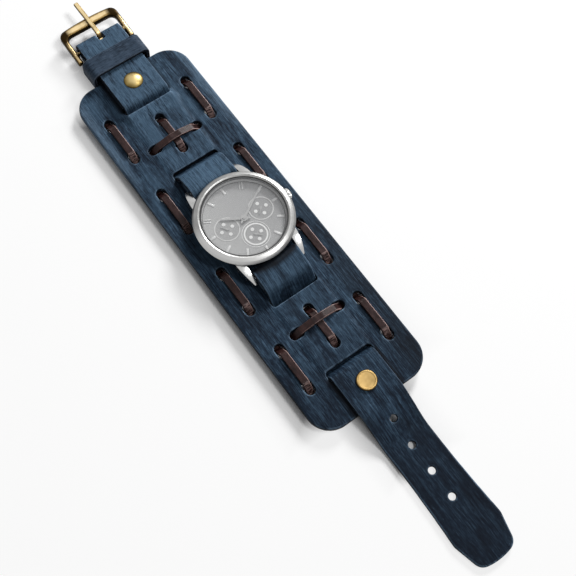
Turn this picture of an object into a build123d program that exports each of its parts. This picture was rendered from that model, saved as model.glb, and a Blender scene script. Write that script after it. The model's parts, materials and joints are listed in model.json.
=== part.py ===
from build123d import *
import os
from math import asin, atan2, cos, degrees, hypot, pi, radians, sin, sqrt, tan

# Cuff watch, lying open and flat. Millimetres.
# The origin is the middle of the cuff base's underside, on the axis of the dial.
# +X points to 3 o'clock, +Y to the buckle, +Z up through the dial.

# Driving dimensions of the leather
base_length = 172.4
base_width = 51.6
base_thick = 2.6
base_corner = 10.0
base_edge = 0.4
strap_width = 20.4
strap_thick = 1.9
layer_gap = 0.05
bend_radius = 1.6
pass_angle = 57.0
slot_clear = 0.15
slot_side_clear = 0.8
slot_corner = 1.3
end_slot_inset = 17.8
mid_slot_reach = 11.0
cut_over = 1.0

# Driving dimensions of the buckle end
fold_reach = 20.5
drop_run = 10.6
drop_ease = 12.0
tongue_side_clear = 0.4
tongue_slot_back = 1.15
tongue_ring_clear = 0.05
buckle_pin_radius = 0.75
buckle_pin_inset = 3.5
pin_fit = 0.02
pivot_clear = 0.05
frame_side_gap = 1.1
frame_arm_width = 2.3
frame_height = 3.1
frame_heel = 5.2
frame_bar_depth = 4.3
frame_window_gap = 4.6
frame_front_bow = 0.9
frame_corner = 3.2
frame_inner_corner = 2.4
frame_edge = 0.7
frame_boss_gap = 0.35
tongue_width = 2.0
tongue_thick = 1.1
tongue_wall = 0.55
tongue_rise = 50.0
tongue_overhang = 7.9
tongue_offset = 0.6
tongue_tip_edge = 0.35

# Driving dimensions of the keeper
keeper_thick = 1.5
keeper_length = 9.1
keeper_side_clear = 1.8
keeper_corner = 3.2
keeper_clear = 0.35
keeper_base_clear = 0.3

# Driving dimensions of the tail
tail_reach = 69.5
tail_waist_share = 0.31
tail_waist = 0.5
tail_flare = 0.6
tail_tip_length = 12.7
tail_tip_taper = 2.8
tail_tip_bow = 1.4
tail_tip_corner = 4.5
tail_drop_run = 14.0
tail_hole_radius = 1.5
tail_first_hole = 8.1
tail_hole_pitch = 11.5
tail_hole_count = 4

# Driving dimensions of the laces
lace_width = 3.3
lace_thick = 1.2
lace_bend = 1.3
lace_angle = 47.0
lace_clear = 0.35
lace_hole_extra = 2.0
lace_inset = 7.3
lace_tail = 4.0
stitch_length = 23.4
outer_stitch_inset = 16.0
inner_stitch_inset = 0.2
cross_span_shares = (0.212, 0.794)
cross_bar_share = 0.37
cross_bar_overhang = 2.35
cross_gap = 0.05

# Driving dimensions of the rivets
rivet_inset = 8.4
rivet_head_radius = 4.0
rivet_dome_height = 1.5
rivet_flat_height = 0.9
rivet_rim = 0.5
rivet_edge = 0.35
rivet_tube_radius = 1.3
rivet_stem_radius = 0.9
rivet_fit = 0.03
rivet_back_radius = 3.6
rivet_back_thick = 0.6

# Driving dimensions of the watch case
case_radius = 18.3
case_wall = 1.7
case_lift = 0.3
case_height = 6.4
case_foot = 0.9
bezel_overhang = 1.7
bezel_seat = 1.3
bezel_height = 2.6
bezel_skirt = 0.6
bezel_crest = 0.7
bezel_bulge = 0.35
lug_side_gap = 0.3
lug_thick = 2.0
lug_flare = 1.4
lug_nose = 2.5
lug_tip_radius = 1.0
bar_stand = 3.2
bar_height = 3.1
bar_tube_radius = 0.9
bar_tube_gap = 1.9
bar_loop_clear = 0.1
bar_pin_radius = 0.4
bar_pin_fit = 0.05
bar_pin_reach = 1.1
bar_shoulder_radius = 0.7
bar_shoulder_length = 0.5
bar_shank_radius = 0.55
bar_shank_length = 2.6
bar_bore_fit = 0.05
bar_pin_travel = 1.2
bar_spring_wall = 0.15
loop_return = 7.0

# Driving dimensions of the glass, gaskets, rehaut and case back
crystal_thick = 1.8
crystal_edge = 0.35
gasket_wall = 0.55
seat_fit = 0.03
rehaut_wall = 0.45
rehaut_slope = 0.5
back_thick = 0.9
back_plug = 0.7
back_edge = 0.3
back_gasket_wall = 0.5
back_gasket_height = 0.4

# Driving dimensions of the dial
dial_thick = 0.4
dial_play = 0.2
hour_count = 12
split_hours = (1, 10)
marker_inset = 0.6
marker_length = 3.2
marker_gap = 0.3
marker_width = 1.0
marker_height = 0.2
marker_split = 0.55
subdial_place_share = 0.482
subdial_size_share = 0.293
subdial_line = 0.4
subdial_line_height = 0.1
subdial_bold_line = 0.6
subdial_bold_inset = 0.4
subdial_outer_gap = 0.6
pips_per_dial = 4
pip_sides = 8
pip_place_share = 0.5
pip_radius = 0.75

# Driving dimensions of the hands
hand_gap = 0.12
small_hand_thick = 0.1
small_hand_angles = {"left": 40, "right": 135, "lower": -135}
small_hand_inset = 2.2
small_hand_tail = 0.9
small_hand_width = 0.35
small_hub_radius = 0.5
small_arbor_radius = 0.3
hour_hand_inset = 7.2
minute_hand_inset = 3.0
hand_tail = 2.6
hand_width = 1.1
hand_tip_width = 0.5
hand_thick = 0.15
hand_hub_radius = 1.35
hour_hand_angle = 60
minute_hand_angle = -60
hour_tube_radius = 0.95
cannon_radius = 0.62
arbor_fit = 0.04
hour_disc_radius = 3.2
hour_disc_thick = 0.3
cannon_cap_height = 0.25

# Driving dimensions of the movement
spacer_wall = 2.6
spacer_fit = 0.08
movement_thick = 3.2
battery_radius = 3.4
battery_thick = 2.1
battery_place_shares = (-0.45, 0.333)
coil_length = 9.0
coil_radius = 1.05
coil_end = 1.1
coil_x = 0.6
coil_inset = 2.9
board_thick = 0.25
clamp_thick = 0.2
clamp_width = 2.4
clamp_foot = 1.6
pocket_play = 0.15

# Driving dimensions of the crown and stem
stem_height = 1.2
crown_radius = 2.35
crown_length = 3.0
crown_gap = 0.35
crown_flutes = 20
crown_flute_depth = 0.22
crown_dome = 0.5
crown_recess = 1.0
crown_recess_clear = 0.3
crown_bore = 2.0
tube_radius = 1.0
tube_wall = 0.35
tube_stand = 0.25
stem_radius = 0.5
stem_fit = 0.06
stem_end_gap = 0.9
collar_radius = 0.9
collar_thick = 0.35
yoke_thick = 0.5
yoke_inset = 2.2
yoke_half_width = 1.5
yoke_height = 1.5
crown_travel = 1.2
oring_radius = 0.3

# Levels of the leather
under_mid = -layer_gap - strap_thick / 2
over_mid = base_thick + layer_gap + strap_thick / 2
double_mid = over_mid + strap_thick + layer_gap
over_top = over_mid + strap_thick / 2
double_top = double_mid + strap_thick / 2
rest_z = under_mid - strap_thick / 2
lace_over_mid = base_thick + layer_gap + lace_thick / 2
lace_under_mid = -layer_gap - lace_thick / 2

# Levels of the head
case_bottom = base_thick + case_lift
back_top = case_bottom + back_thick
case_top = case_bottom + case_height
bezel_top = case_top + bezel_height
dial_top = case_top - rehaut_slope
dial_bottom = dial_top - dial_thick
crystal_top = bezel_top + crystal_edge / 2
crystal_bottom = crystal_top - crystal_thick
movement_top = dial_bottom - seat_fit
movement_bottom = movement_top - movement_thick
board_bottom = movement_bottom - board_thick - seat_fit
crown_z = movement_bottom + stem_height
bar_z = case_bottom + bar_height

# Radii and places in the head
bezel_radius = case_radius + bezel_overhang
bezel_inner_radius = case_radius - bezel_seat
case_bore = case_radius - case_wall
dial_radius = case_bore - dial_play
crystal_radius = bezel_inner_radius - gasket_wall - 2 * seat_fit
marker_outer = dial_radius - marker_inset
subdial_distance = dial_radius * subdial_place_share
subdial_radius = dial_radius * subdial_size_share
subdial_bold_radius = subdial_radius - subdial_bold_inset
subdial_outer_radius = subdial_radius + subdial_outer_gap
movement_radius = dial_radius - spacer_wall
battery_x, battery_y = [movement_radius * share for share in battery_place_shares]
coil_y = coil_inset - movement_radius
yoke_x = movement_radius - yoke_inset
stem_inner_end = subdial_distance + stem_end_gap
bar_y = case_radius + bar_stand
lug_gap = strap_width + 2 * lug_side_gap
lug_reach = bar_y + lug_nose
bar_tube_half = lug_gap / 2 - bar_tube_gap
loop_radius = bar_tube_radius + bar_loop_clear + strap_thick / 2

# Places along the leather, as distances from the dial's axis
base_half = base_length / 2
end_slot_y = base_half - end_slot_inset
mid_slot_y = bar_y + mid_slot_reach
rivet_y = base_half - rivet_inset
outer_stitch_y = base_half - outer_stitch_inset
inner_stitch_y = mid_slot_y - inner_stitch_inset
side_lace_x = base_width / 2 - lace_inset
cross_near_y, cross_far_y = [mid_slot_y + (end_slot_y - mid_slot_y) * share
                             for share in cross_span_shares]
cross_bar_y = cross_near_y + (cross_far_y - cross_near_y) * cross_bar_share
pass_slope = tan(radians(pass_angle))
slot_length = (base_thick / pass_slope + strap_thick / sin(radians(pass_angle))
               + 2 * slot_clear)
slot_width = strap_width + 2 * slot_side_clear
lace_slope = tan(radians(lace_angle))
lace_hole_length = (base_thick / lace_slope + lace_thick / sin(radians(lace_angle))
                    + lace_hole_extra)
lace_hole_width = lace_width + 2 * lace_clear
fold_gap = 2 * (buckle_pin_radius + pivot_clear + tongue_wall + tongue_ring_clear)
fold_radius = (fold_gap + strap_thick) / 2
fold_end_y = base_half + fold_reach
fold_mid_y = fold_end_y - strap_thick / 2
fold_low_mid = double_mid - 2 * fold_radius
buckle_pin_y = fold_end_y - buckle_pin_inset
buckle_pin_z = double_mid - fold_radius
frame_outer_width = strap_width + 2 * (frame_side_gap + frame_arm_width)
frame_window_end_y = fold_end_y + frame_window_gap
tongue_slot_width = tongue_width + 2 * tongue_side_clear
tongue_level = double_top - tongue_thick / 4
tongue_tip_y = frame_window_end_y + frame_bar_depth + tongue_overhang
keeper_outer_width = strap_width + 2 * (keeper_side_clear + keeper_thick)
tail_end_y = base_half + tail_reach
tail_waist_y = base_half + tail_reach * tail_waist_share
tail_waist_width = strap_width - 2 * tail_waist
tail_flare_y = tail_end_y - tail_tip_length
tail_flare_width = strap_width + 2 * tail_flare
tail_tip_width = tail_flare_width - 2 * tail_tip_taper
tail_first_hole_y = base_half + tail_first_hole


def route(points, radii):
    """Straight runs joined by tangent arcs, one radius for each corner."""
    corners = [Vector(*point) for point in points]
    edges = []
    start = corners[0]
    for before, corner, after, radius in zip(corners, corners[1:], corners[2:], radii):
        inward = (before - corner).normalized()
        onward = (after - corner).normalized()
        half_turn = radians(180 - inward.get_angle(onward)) / 2
        reach = radius * tan(half_turn)
        arc_start = corner + inward * reach
        arc_end = corner + onward * reach
        bulge = radius / cos(half_turn) - radius
        middle = corner + (inward + onward).normalized() * bulge
        if (arc_start - start).length > radius / 1000:
            edges.append(Edge.make_line(start, arc_start))
        edges.append(Edge.make_three_point_arc(arc_start, middle, arc_end))
        start = arc_end
    edges.append(Edge.make_line(start, corners[-1]))
    return Wire(edges)


def strip(points, radii, width, thick, across=(1, 0, 0)):
    """A flat leather strip or metal blank carried along a route."""
    path = route(points, radii)
    start = Plane(origin=path @ 0, x_dir=across, z_dir=path % 0)
    return sweep(start * Rectangle(width, thick), path=path)


def lengthwise(side, x, places):
    """Turn (distance from the dial, height) pairs into points on one side."""
    return [(x, side * distance, height) for distance, height in places]


def ring(outer, inner, low, high):
    body = Pos(0, 0, (low + high) / 2) * Cylinder(outer, high - low)
    return body - Pos(0, 0, (low + high) / 2) * Cylinder(inner, high - low + 2 * cut_over)


def disc(radius, low, high):
    return Pos(0, 0, (low + high) / 2) * Cylinder(radius, high - low)


def turned(outline):
    """Revolve a closed (radius, height) outline about the dial's axis."""
    points = [(radius, 0, height) for radius, height in outline]
    return revolve(make_face(Polyline(*points, close=True)), Axis.Z)


def rod(radius, x_from, x_to, y, z):
    middle = Pos((x_from + x_to) / 2, y, z)
    return middle * Rot(0, 90, 0) * Cylinder(radius, abs(x_to - x_from))


def slot_line(slot_y, lean, height):
    """How far out the strap's middle is at a height, inside a slot of the base."""
    return slot_y + lean * (height - base_thick / 2) / pass_slope


# The base

def lace_hole(x, y, angle):
    hole = SlotOverall(lace_hole_length, lace_hole_width, rotation=angle)
    return Pos(x, y, -cut_over) * extrude(hole, base_thick + 2 * cut_over)


def stitch_hole_places():
    """Middle of each side-lace hole, as distance from the dial."""
    half = lace_hole_length / 2
    places = []
    for outer in (outer_stitch_y, inner_stitch_y):
        places += [outer - half, outer - stitch_length + half]
    return places


def cross_hole_places():
    half = lace_hole_length / 2
    return cross_near_y + half, cross_far_y - half


def cuff_base():
    plate = extrude(RectangleRounded(base_width, base_length, base_corner), base_thick)
    plate = chamfer(plate.faces().sort_by(Axis.Z)[-1].edges(), base_edge)
    slot = extrude(RectangleRounded(slot_width, slot_length, slot_corner),
                   base_thick + 2 * cut_over)
    cuts = []
    for side in (1, -1):
        for slot_y in (end_slot_y, mid_slot_y):
            cuts.append(Pos(0, side * slot_y, -cut_over) * slot)
        for place in stitch_hole_places():
            for x in (-side_lace_x, side_lace_x):
                cuts.append(lace_hole(x, side * place, 90))
        for place in cross_hole_places():
            cuts.append(lace_hole(0, side * place, 90))
        bar_hole_x = strap_width / 2 + cross_bar_overhang - lace_hole_length / 2
        for x in (-bar_hole_x, bar_hole_x):
            cuts.append(lace_hole(x, side * cross_bar_y, 0))
        rivet = Cylinder(rivet_tube_radius + rivet_fit, base_thick + 2 * cut_over)
        cuts.append(Pos(0, side * rivet_y, base_thick / 2) * rivet)
    return plate - cuts


# The straps

def loop_route():
    """From under the base, up through the middle slot and round the spring bar."""
    rise_z = bar_z + strap_thick / 6
    rise_y = slot_line(mid_slot_y, -1, rise_z)
    run = hypot(rise_y - bar_y, rise_z - bar_z)
    tilt = asin(loop_radius / run) - atan2(rise_z - bar_z, rise_y - bar_y)
    inner_y = bar_y - loop_radius
    crest_z = rise_z + (rise_y - inner_y) * tan(tilt)
    low_z = bar_z - loop_radius
    return [(slot_line(mid_slot_y, -1, under_mid), under_mid), (rise_y, rise_z),
            (inner_y, crest_z), (inner_y, low_z), (bar_y + loop_return, low_z)]


def loop_radii():
    return [bend_radius, 2 * bend_radius, loop_radius, loop_radius]


def strap_hole(y, low, high):
    hole = Cylinder(rivet_tube_radius + rivet_fit, high - low + 2 * cut_over)
    return Pos(0, y, (low + high) / 2) * hole


def cross_cuts(side):
    """Where the cross's upright is laced through the strap under the base."""
    shape = SlotOverall(lace_hole_length, lace_hole_width, rotation=90)
    deep = strap_thick + 2 * cut_over
    return [Pos(0, side * place + side * shift, rest_z - cut_over) * extrude(shape, deep)
            for place, shift in zip(cross_hole_places(), cross_shifts())]


def cross_shifts():
    """The strap's lace holes lie a little past the base's, on the lace's slope."""
    shift = (base_thick / 2 + strap_thick / 2) / lace_slope
    return -shift, shift


def buckle_strap():
    dive_y = slot_line(end_slot_y, 1, double_mid)
    bend = bend_radius * tan(radians(pass_angle) / 2)
    places = [(dive_y + bend + layer_gap + slot_clear, over_mid),
              (base_half + bend_radius, over_mid),
              (base_half + bend_radius + drop_run, fold_low_mid),
              (fold_mid_y, fold_low_mid),
              (fold_mid_y, double_mid),
              (dive_y, double_mid),
              (slot_line(end_slot_y, 1, under_mid), under_mid)]
    radii = [drop_ease, drop_ease, fold_radius, fold_radius, bend_radius, bend_radius]
    strap = strip(lengthwise(1, 0, places + loop_route()), radii + loop_radii(),
                  strap_width, strap_thick)
    slot_from = buckle_pin_y - tongue_slot_back
    slot_run = fold_end_y + cut_over - slot_from
    tall = double_top - fold_low_mid + strap_thick
    slot = Pos(tongue_offset, slot_from + slot_run / 2, buckle_pin_z)
    tongue_slot = slot * Box(tongue_slot_width, slot_run, tall)
    return strap - [tongue_slot, strap_hole(rivet_y, base_thick, double_top)] - cross_cuts(1)


def tail_outline():
    """Plan of the tail strap: a slight waist, a flare and a shallow bowed tip."""
    start = bar_y - 2 * loop_radius
    half = strap_width / 2
    right = [Line((half, -start), (half, -base_half)),
             ThreePointArc((half, -base_half), (tail_waist_width / 2, -tail_waist_y),
                           (tail_flare_width / 2, -tail_flare_y)),
             Line((tail_flare_width / 2, -tail_flare_y),
                  (tail_tip_width / 2, tail_tip_bow - tail_end_y))]
    left = [mirror(edge, Plane.YZ) for edge in right]
    tip = ThreePointArc((tail_tip_width / 2, tail_tip_bow - tail_end_y), (0, -tail_end_y),
                        (-tail_tip_width / 2, tail_tip_bow - tail_end_y))
    close = Line((half, -start), (-half, -start))
    plan = make_face(Curve() + right + left + tip + close)
    corners = plan.vertices().filter_by(
        lambda corner: tail_tip_bow - tail_end_y - layer_gap < corner.Y < -tail_flare_y + layer_gap)
    return fillet(corners, tail_tip_corner)


def tail_drop():
    """Start and end of the tail's way down from the base to the rest level."""
    start = base_half + bend_radius
    return start, start + tail_drop_run


def tail_hole_pose(place):
    """Middle height and tilt of the strap at a hole."""
    start, end = tail_drop()
    if place > end:
        return under_mid, 0
    slope = (over_mid - under_mid) / (end - start)
    return over_mid - (place - start) * slope, degrees(atan2(over_mid - under_mid, end - start))


def tail_strap():
    start, end = tail_drop()
    places = [(tail_end_y + cut_over, under_mid), (end, under_mid), (start, over_mid),
              (slot_line(end_slot_y, 1, over_mid), over_mid),
              (slot_line(end_slot_y, 1, under_mid), under_mid)]
    radii = [drop_ease, drop_ease, bend_radius, bend_radius]
    strap = strip(lengthwise(-1, 0, places + loop_route()), radii + loop_radii(),
                  tail_flare_width + cut_over, strap_thick)
    plan = Pos(0, 0, rest_z - cut_over) * extrude(tail_outline(), bezel_top)
    strap = strap & plan
    cuts = [strap_hole(-rivet_y, base_thick, over_top)] + cross_cuts(-1)
    for step in range(tail_hole_count):
        place = tail_first_hole_y + step * tail_hole_pitch
        height, tilt = tail_hole_pose(place)
        hole = Cylinder(tail_hole_radius, strap_thick + 2 * cut_over)
        cuts.append(Pos(0, -place, height) * Rot(tilt, 0, 0) * hole)
    return strap - cuts


def keeper_loop():
    """A closed band round both layers of the strap."""
    low = rest_z
    high = double_top + keeper_clear + keeper_thick
    outer = RectangleRounded(keeper_outer_width, high - low, keeper_corner)
    inner = RectangleRounded(keeper_outer_width - 2 * keeper_thick,
                             high - low - 2 * keeper_thick, keeper_corner - keeper_thick)
    start = Plane(origin=(0, base_half + keeper_base_clear, (low + high) / 2),
                  x_dir=(-1, 0, 0), z_dir=(0, 1, 0))
    return extrude(start * (outer - inner), keeper_length)


# The laces

def slant_run(from_z, to_z):
    return abs(to_z - from_z) / lace_slope


def side_lace(x):
    """One lace down the whole side: four stitches on top, the rest underneath."""
    half = slant_run(lace_under_mid, lace_over_mid) / 2
    outer = []
    for hole_out, hole_in in (stitch_hole_places()[:2], stitch_hole_places()[2:]):
        outer += [(hole_out + half, lace_under_mid), (hole_out - half, lace_over_mid),
                  (hole_in + half, lace_over_mid), (hole_in - half, lace_under_mid)]
    start = (outer[0][0] + lace_tail, lace_under_mid)
    inner = [(-y, z) for y, z in reversed(outer)]
    places = [start] + outer + inner + [(-start[0], start[1])]
    return strip(lengthwise(1, x, places), [lace_bend] * (len(places) - 2),
                 lace_width, lace_thick)


def cross_upright(side):
    """Laced through the base and the strap under it, and cut off inside the strap."""
    near, far = cross_hole_places()
    floor = rest_z + lace_thick / 2
    deep = slant_run(base_thick / 2, floor)
    top = lace_over_mid
    rise = slant_run(base_thick / 2, top)
    places = [(near - deep, floor), (near + rise, top), (far - rise, top), (far + deep, floor)]
    return strip(lengthwise(side, 0, places), [lace_bend] * 2, lace_width, lace_thick)


def cross_bar(side):
    """Laced across, over the upright, with its ends glued under the base."""
    crest = lace_over_mid + lace_thick + cross_gap
    crest_x = lace_width / 2 + lace_thick / 2
    side_reach = lace_thick / 2 / sin(radians(lace_angle))
    under_x = (strap_width / 2 + layer_gap + side_reach
               + slant_run(-layer_gap, lace_under_mid))
    over_x = under_x - slant_run(lace_under_mid, lace_over_mid)
    right = [(under_x + lace_thick, lace_under_mid), (under_x, lace_under_mid),
             (over_x, lace_over_mid), (crest_x, crest)]
    left = [(-x, z) for x, z in reversed(right)]
    points = [(x, side * cross_bar_y, z) for x, z in right + left]
    radii = [lace_bend, lace_bend, 2 * lace_bend]
    return strip(points, radii + radii[::-1], lace_width, lace_thick, across=(0, 1, 0))


# The rivets

def rivet_post(y, leather_top):
    """Back plate and tube, pushed up through the leather from below."""
    low = -layer_gap - rivet_back_thick
    plate = disc(rivet_back_radius, low, -layer_gap)
    plate = chamfer(plate.faces().sort_by(Axis.Z)[0].edges(), rivet_edge)
    tube = disc(rivet_tube_radius, -layer_gap, leather_top)
    bore = disc(rivet_stem_radius + rivet_fit, 0, leather_top + cut_over)
    return Pos(0, y, 0) * (plate + tube - bore)


def rivet_stem(leather_top):
    return disc(rivet_stem_radius, base_thick / 2, leather_top + layer_gap)


def domed_cap():
    low = double_top + layer_gap
    sphere = (rivet_head_radius ** 2 + rivet_dome_height ** 2) / (2 * rivet_dome_height)
    dome = Pos(0, 0, low + rivet_dome_height - sphere) * Sphere(sphere)
    dome = dome & disc(rivet_head_radius, low, low + rivet_dome_height + cut_over)
    return Pos(0, rivet_y, 0) * (dome + rivet_stem(double_top))


def rimmed_cap():
    low = over_top + layer_gap
    head = disc(rivet_head_radius, low, low + rivet_flat_height)
    head = chamfer(head.faces().sort_by(Axis.Z)[-1].edges(), rivet_edge)
    dish = disc(rivet_head_radius - rivet_rim - rivet_edge,
                low + rivet_flat_height - rivet_edge / 2, low + rivet_flat_height + cut_over)
    return Pos(0, -rivet_y, 0) * (head - dish + rivet_stem(over_top))


# The buckle

def frame_plan():
    """Plan of the frame, measured from the pin: two arms and a bowed front bar."""
    half = frame_outer_width / 2
    window_end = frame_window_end_y - buckle_pin_y
    front = window_end + frame_bar_depth
    corner = front - frame_front_bow
    outline = make_face(Curve() + [
        Line((-half, -frame_heel), (half, -frame_heel)), Line((half, -frame_heel), (half, corner)),
        ThreePointArc((half, corner), (0, front), (-half, corner)),
        Line((-half, corner), (-half, -frame_heel))])
    outline = fillet(outline.vertices().sort_by(Axis.Y)[-2:], frame_corner)
    inner_width = frame_outer_width - 2 * frame_arm_width
    run = window_end + frame_heel + cut_over
    window = Pos(0, window_end - run / 2) * Rectangle(inner_width, run)
    window = fillet(window.vertices().sort_by(Axis.Y)[-2:], frame_inner_corner)
    return outline - window


def buckle_frame():
    """Bevelled arms and bar, tilted so that the bar comes up to the tongue."""
    half = frame_height / 2
    frame = Pos(0, 0, -half) * extrude(frame_plan(), frame_height)
    front_rims = frame.edges().filter_by(
        lambda edge: abs(edge.center().Z) > half - layer_gap and edge.center().Y > 0)
    frame = chamfer(front_rims, frame_edge)
    heels = frame.edges().filter_by(Axis.X).group_by(Axis.Y)[0]
    frame = fillet(heels, half - layer_gap)
    bar_run = frame_window_end_y + frame_bar_depth / 2 - buckle_pin_y
    bar_rise = tongue_level - tongue_thick / 2 - 2 * layer_gap - half - buckle_pin_z
    tilt = degrees(asin(bar_rise / bar_run))
    frame = Pos(0, buckle_pin_y, buckle_pin_z) * Rot(tilt, 0, 0) * frame
    inner = frame_outer_width / 2 - frame_arm_width
    for way in (-1, 1):
        boss_from = strap_width / 2 + frame_boss_gap
        frame += rod(half - frame_edge / 2, way * boss_from, way * (inner + frame_arm_width / 2),
                     buckle_pin_y, buckle_pin_z)
    return frame - rod(buckle_pin_radius + pin_fit, -frame_outer_width, frame_outer_width,
                       buckle_pin_y, buckle_pin_z)


def buckle_pin():
    half = (frame_outer_width - frame_arm_width / 2) / 2
    return rod(buckle_pin_radius, -half, half, buckle_pin_y, buckle_pin_z)


def buckle_tongue():
    """A ring round the pin and a cranked shank that rests on the front bar."""
    bore = buckle_pin_radius + pivot_clear
    outer = bore + tongue_wall
    lift = tongue_level - buckle_pin_z
    slope = tan(radians(tongue_rise))
    start = bore + tongue_wall / 4
    places = [(buckle_pin_y + start * cos(radians(tongue_rise)),
               buckle_pin_z + start * sin(radians(tongue_rise))),
              (buckle_pin_y + lift / slope, tongue_level), (tongue_tip_y, tongue_level)]
    shank = strip(lengthwise(1, tongue_offset, places), [2 * tongue_thick],
                  tongue_width, tongue_thick)
    tip = shank.edges().group_by(Axis.Y)[-1]
    shank = chamfer(tip, tongue_tip_edge)
    half = tongue_width / 2
    collar = rod(outer, tongue_offset - half, tongue_offset + half, buckle_pin_y, buckle_pin_z)
    hole = rod(bore, tongue_offset - tongue_width, tongue_offset + tongue_width,
               buckle_pin_y, buckle_pin_z)
    return shank + collar - hole


# The case

def lug(side, way):
    """One curved horn, thick at the case and slim at its tip."""
    inner = lug_gap / 2
    root = sqrt((case_radius - case_wall / 2) ** 2 - inner ** 2)
    low = case_bottom + case_foot / 2
    tip_y = lug_reach - lug_tip_radius
    top_root = (0, root, case_top - bezel_skirt / 2)
    top_mid = (0, (root + lug_reach) / 2, case_top - lug_tip_radius - bezel_skirt / 2)
    diagonal = lug_tip_radius / hypot(1, 1)
    tip_top = (0, tip_y + diagonal, low + lug_tip_radius + diagonal)
    tip_nose = (0, tip_y + lug_tip_radius, low + lug_tip_radius)
    tip_low = (0, tip_y, low)
    low_root = (0, root, low + lug_tip_radius)
    low_mid = (0, (root + tip_y) / 2, low + lug_tip_radius)
    face = Face(Wire([
        Edge.make_three_point_arc(top_root, top_mid, tip_top),
        Edge.make_three_point_arc(tip_top, tip_nose, tip_low),
        Edge.make_three_point_arc(tip_low, low_mid, low_root),
        Edge.make_line(low_root, top_root)]))
    wide = lug_thick + lug_flare
    horn = Pos(inner, 0, 0) * extrude(face, wide, dir=(1, 0, 0))
    plan = make_face(Curve() + [
        Line((inner, root), (inner, lug_reach)),
        Line((inner, lug_reach), (inner + lug_thick / 2, lug_reach)),
        ThreePointArc((inner + lug_thick / 2, lug_reach), (inner + lug_thick, bar_y),
                      (inner + wide, root)),
        Line((inner + wide, root), (inner, root))])
    horn = horn & Pos(0, 0, rest_z) * extrude(plan, bezel_top)
    horn -= rod(bar_pin_radius + bar_pin_fit, 0, inner + bar_pin_reach + bar_pin_fit,
                bar_y, bar_z)
    if way < 0:
        horn = mirror(horn, Plane.YZ)
    if side < 0:
        horn = mirror(horn, Plane.XZ)
    return horn


def case_body():
    inner = case_bore
    floor = back_top
    outline = [(inner, floor), (case_radius - case_foot, floor), (case_radius, floor + case_foot),
               (case_radius, case_top - case_foot), (case_radius + case_foot / 2, case_top),
               (inner, case_top)]
    body = turned(outline)
    horns = [lug(side, way) for side in (1, -1) for way in (1, -1)]
    bore = disc(inner, rest_z, bezel_top)
    body = body + [horn - bore for horn in horns]
    tube_hole = rod(tube_radius + seat_fit, inner - cut_over, case_radius + case_wall, 0, crown_z)
    return body - tube_hole


def bezel():
    """A smooth wide ring: a short skirt, a bulging flank and a narrow crest."""
    skirt_top = case_top + bezel_skirt
    crest = bezel_inner_radius + bezel_crest
    middle = ((bezel_radius + crest) / 2 + bezel_bulge, (skirt_top + bezel_top) / 2 + bezel_bulge)
    outline = [(bezel_inner_radius, case_top), (bezel_radius - bezel_skirt, case_top),
               (bezel_radius, skirt_top), middle, (crest, bezel_top),
               (bezel_inner_radius, bezel_top - bezel_crest / 2)]
    return turned(outline)


def crystal():
    glass = disc(crystal_radius, crystal_bottom, crystal_top)
    return chamfer(glass.faces().sort_by(Axis.Z)[-1].edges(), crystal_edge)


def crystal_gasket():
    return ring(bezel_inner_radius - seat_fit, crystal_radius + seat_fit,
                crystal_bottom, bezel_top - bezel_crest)


def rehaut_ring():
    """A sloped ring between the dial's edge and the glass."""
    outer = bezel_inner_radius - seat_fit
    top = crystal_bottom - seat_fit
    foot = dial_radius - seat_fit
    outline = [(foot - rehaut_wall, dial_top), (foot, dial_top), (foot, case_top),
               (outer, case_top), (outer, top), (outer - rehaut_wall / 2, top)]
    return turned(outline)


def case_back():
    rim = case_radius - case_foot
    groove = case_bore - seat_fit - back_gasket_wall
    plug_top = back_top + back_plug
    outline = [(0, case_bottom), (rim - back_edge, case_bottom), (rim, case_bottom + back_edge),
               (rim, back_top), (groove, back_top), (groove, plug_top),
               (groove - case_foot, plug_top), (groove - case_foot, back_top), (0, back_top)]
    return turned(outline)


def case_back_gasket():
    outer = case_bore - seat_fit
    return ring(outer, outer - back_gasket_wall + seat_fit, back_top + seat_fit,
                back_top + back_gasket_height)


# The dial

def around(count, distance, piece):
    """Copies of a piece, turned about the dial's axis in place."""
    return [Rot(0, 0, -360 * step / count) * Pos(0, distance, 0) * piece
            for step in range(count)]


def subdial_places():
    return {"left": (-subdial_distance, 0), "right": (subdial_distance, 0),
            "lower": (0, -subdial_distance)}


def dial():
    plate = disc(dial_radius, dial_bottom, dial_top)
    bores = [disc(hour_tube_radius + arbor_fit, dial_bottom - cut_over, dial_top + cut_over)]
    for x, y in subdial_places().values():
        bores.append(Pos(x, y, 0) * disc(small_arbor_radius + arbor_fit,
                                         dial_bottom - cut_over, dial_top + cut_over))
    return plate - bores


def marker_inner(hour):
    """A baton stops short of the small dial that lies in its way."""
    inner = marker_outer - marker_length
    if hour in (3, 9):
        return max(inner, subdial_distance + subdial_radius + subdial_line / 2 + marker_gap)
    if hour == 6:
        return max(inner, subdial_distance + subdial_outer_radius + subdial_line + marker_gap)
    return inner


def hour_markers():
    """Slim batons; the ones at 1 and 10 are split in two."""
    solids = []
    for hour in range(hour_count):
        inner = marker_inner(hour)
        split = hour in split_hours
        width = marker_width / 2 if split else marker_width
        baton = Box(width, marker_outer - inner, marker_height)
        middle = ((inner + marker_outer) / 2, dial_top + marker_height / 2)
        for shift in ((-marker_split, marker_split) if split else (0,)):
            turn = Rot(0, 0, -360 * hour / hour_count)
            solids.append(turn * Pos(shift, *middle) * baton)
    return Compound(children=solids)


def subdial_ring(x, y, radius, line):
    return Pos(x, y, 0) * ring(radius + line / 2, radius - line / 2,
                               dial_top, dial_top + subdial_line_height)


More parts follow.
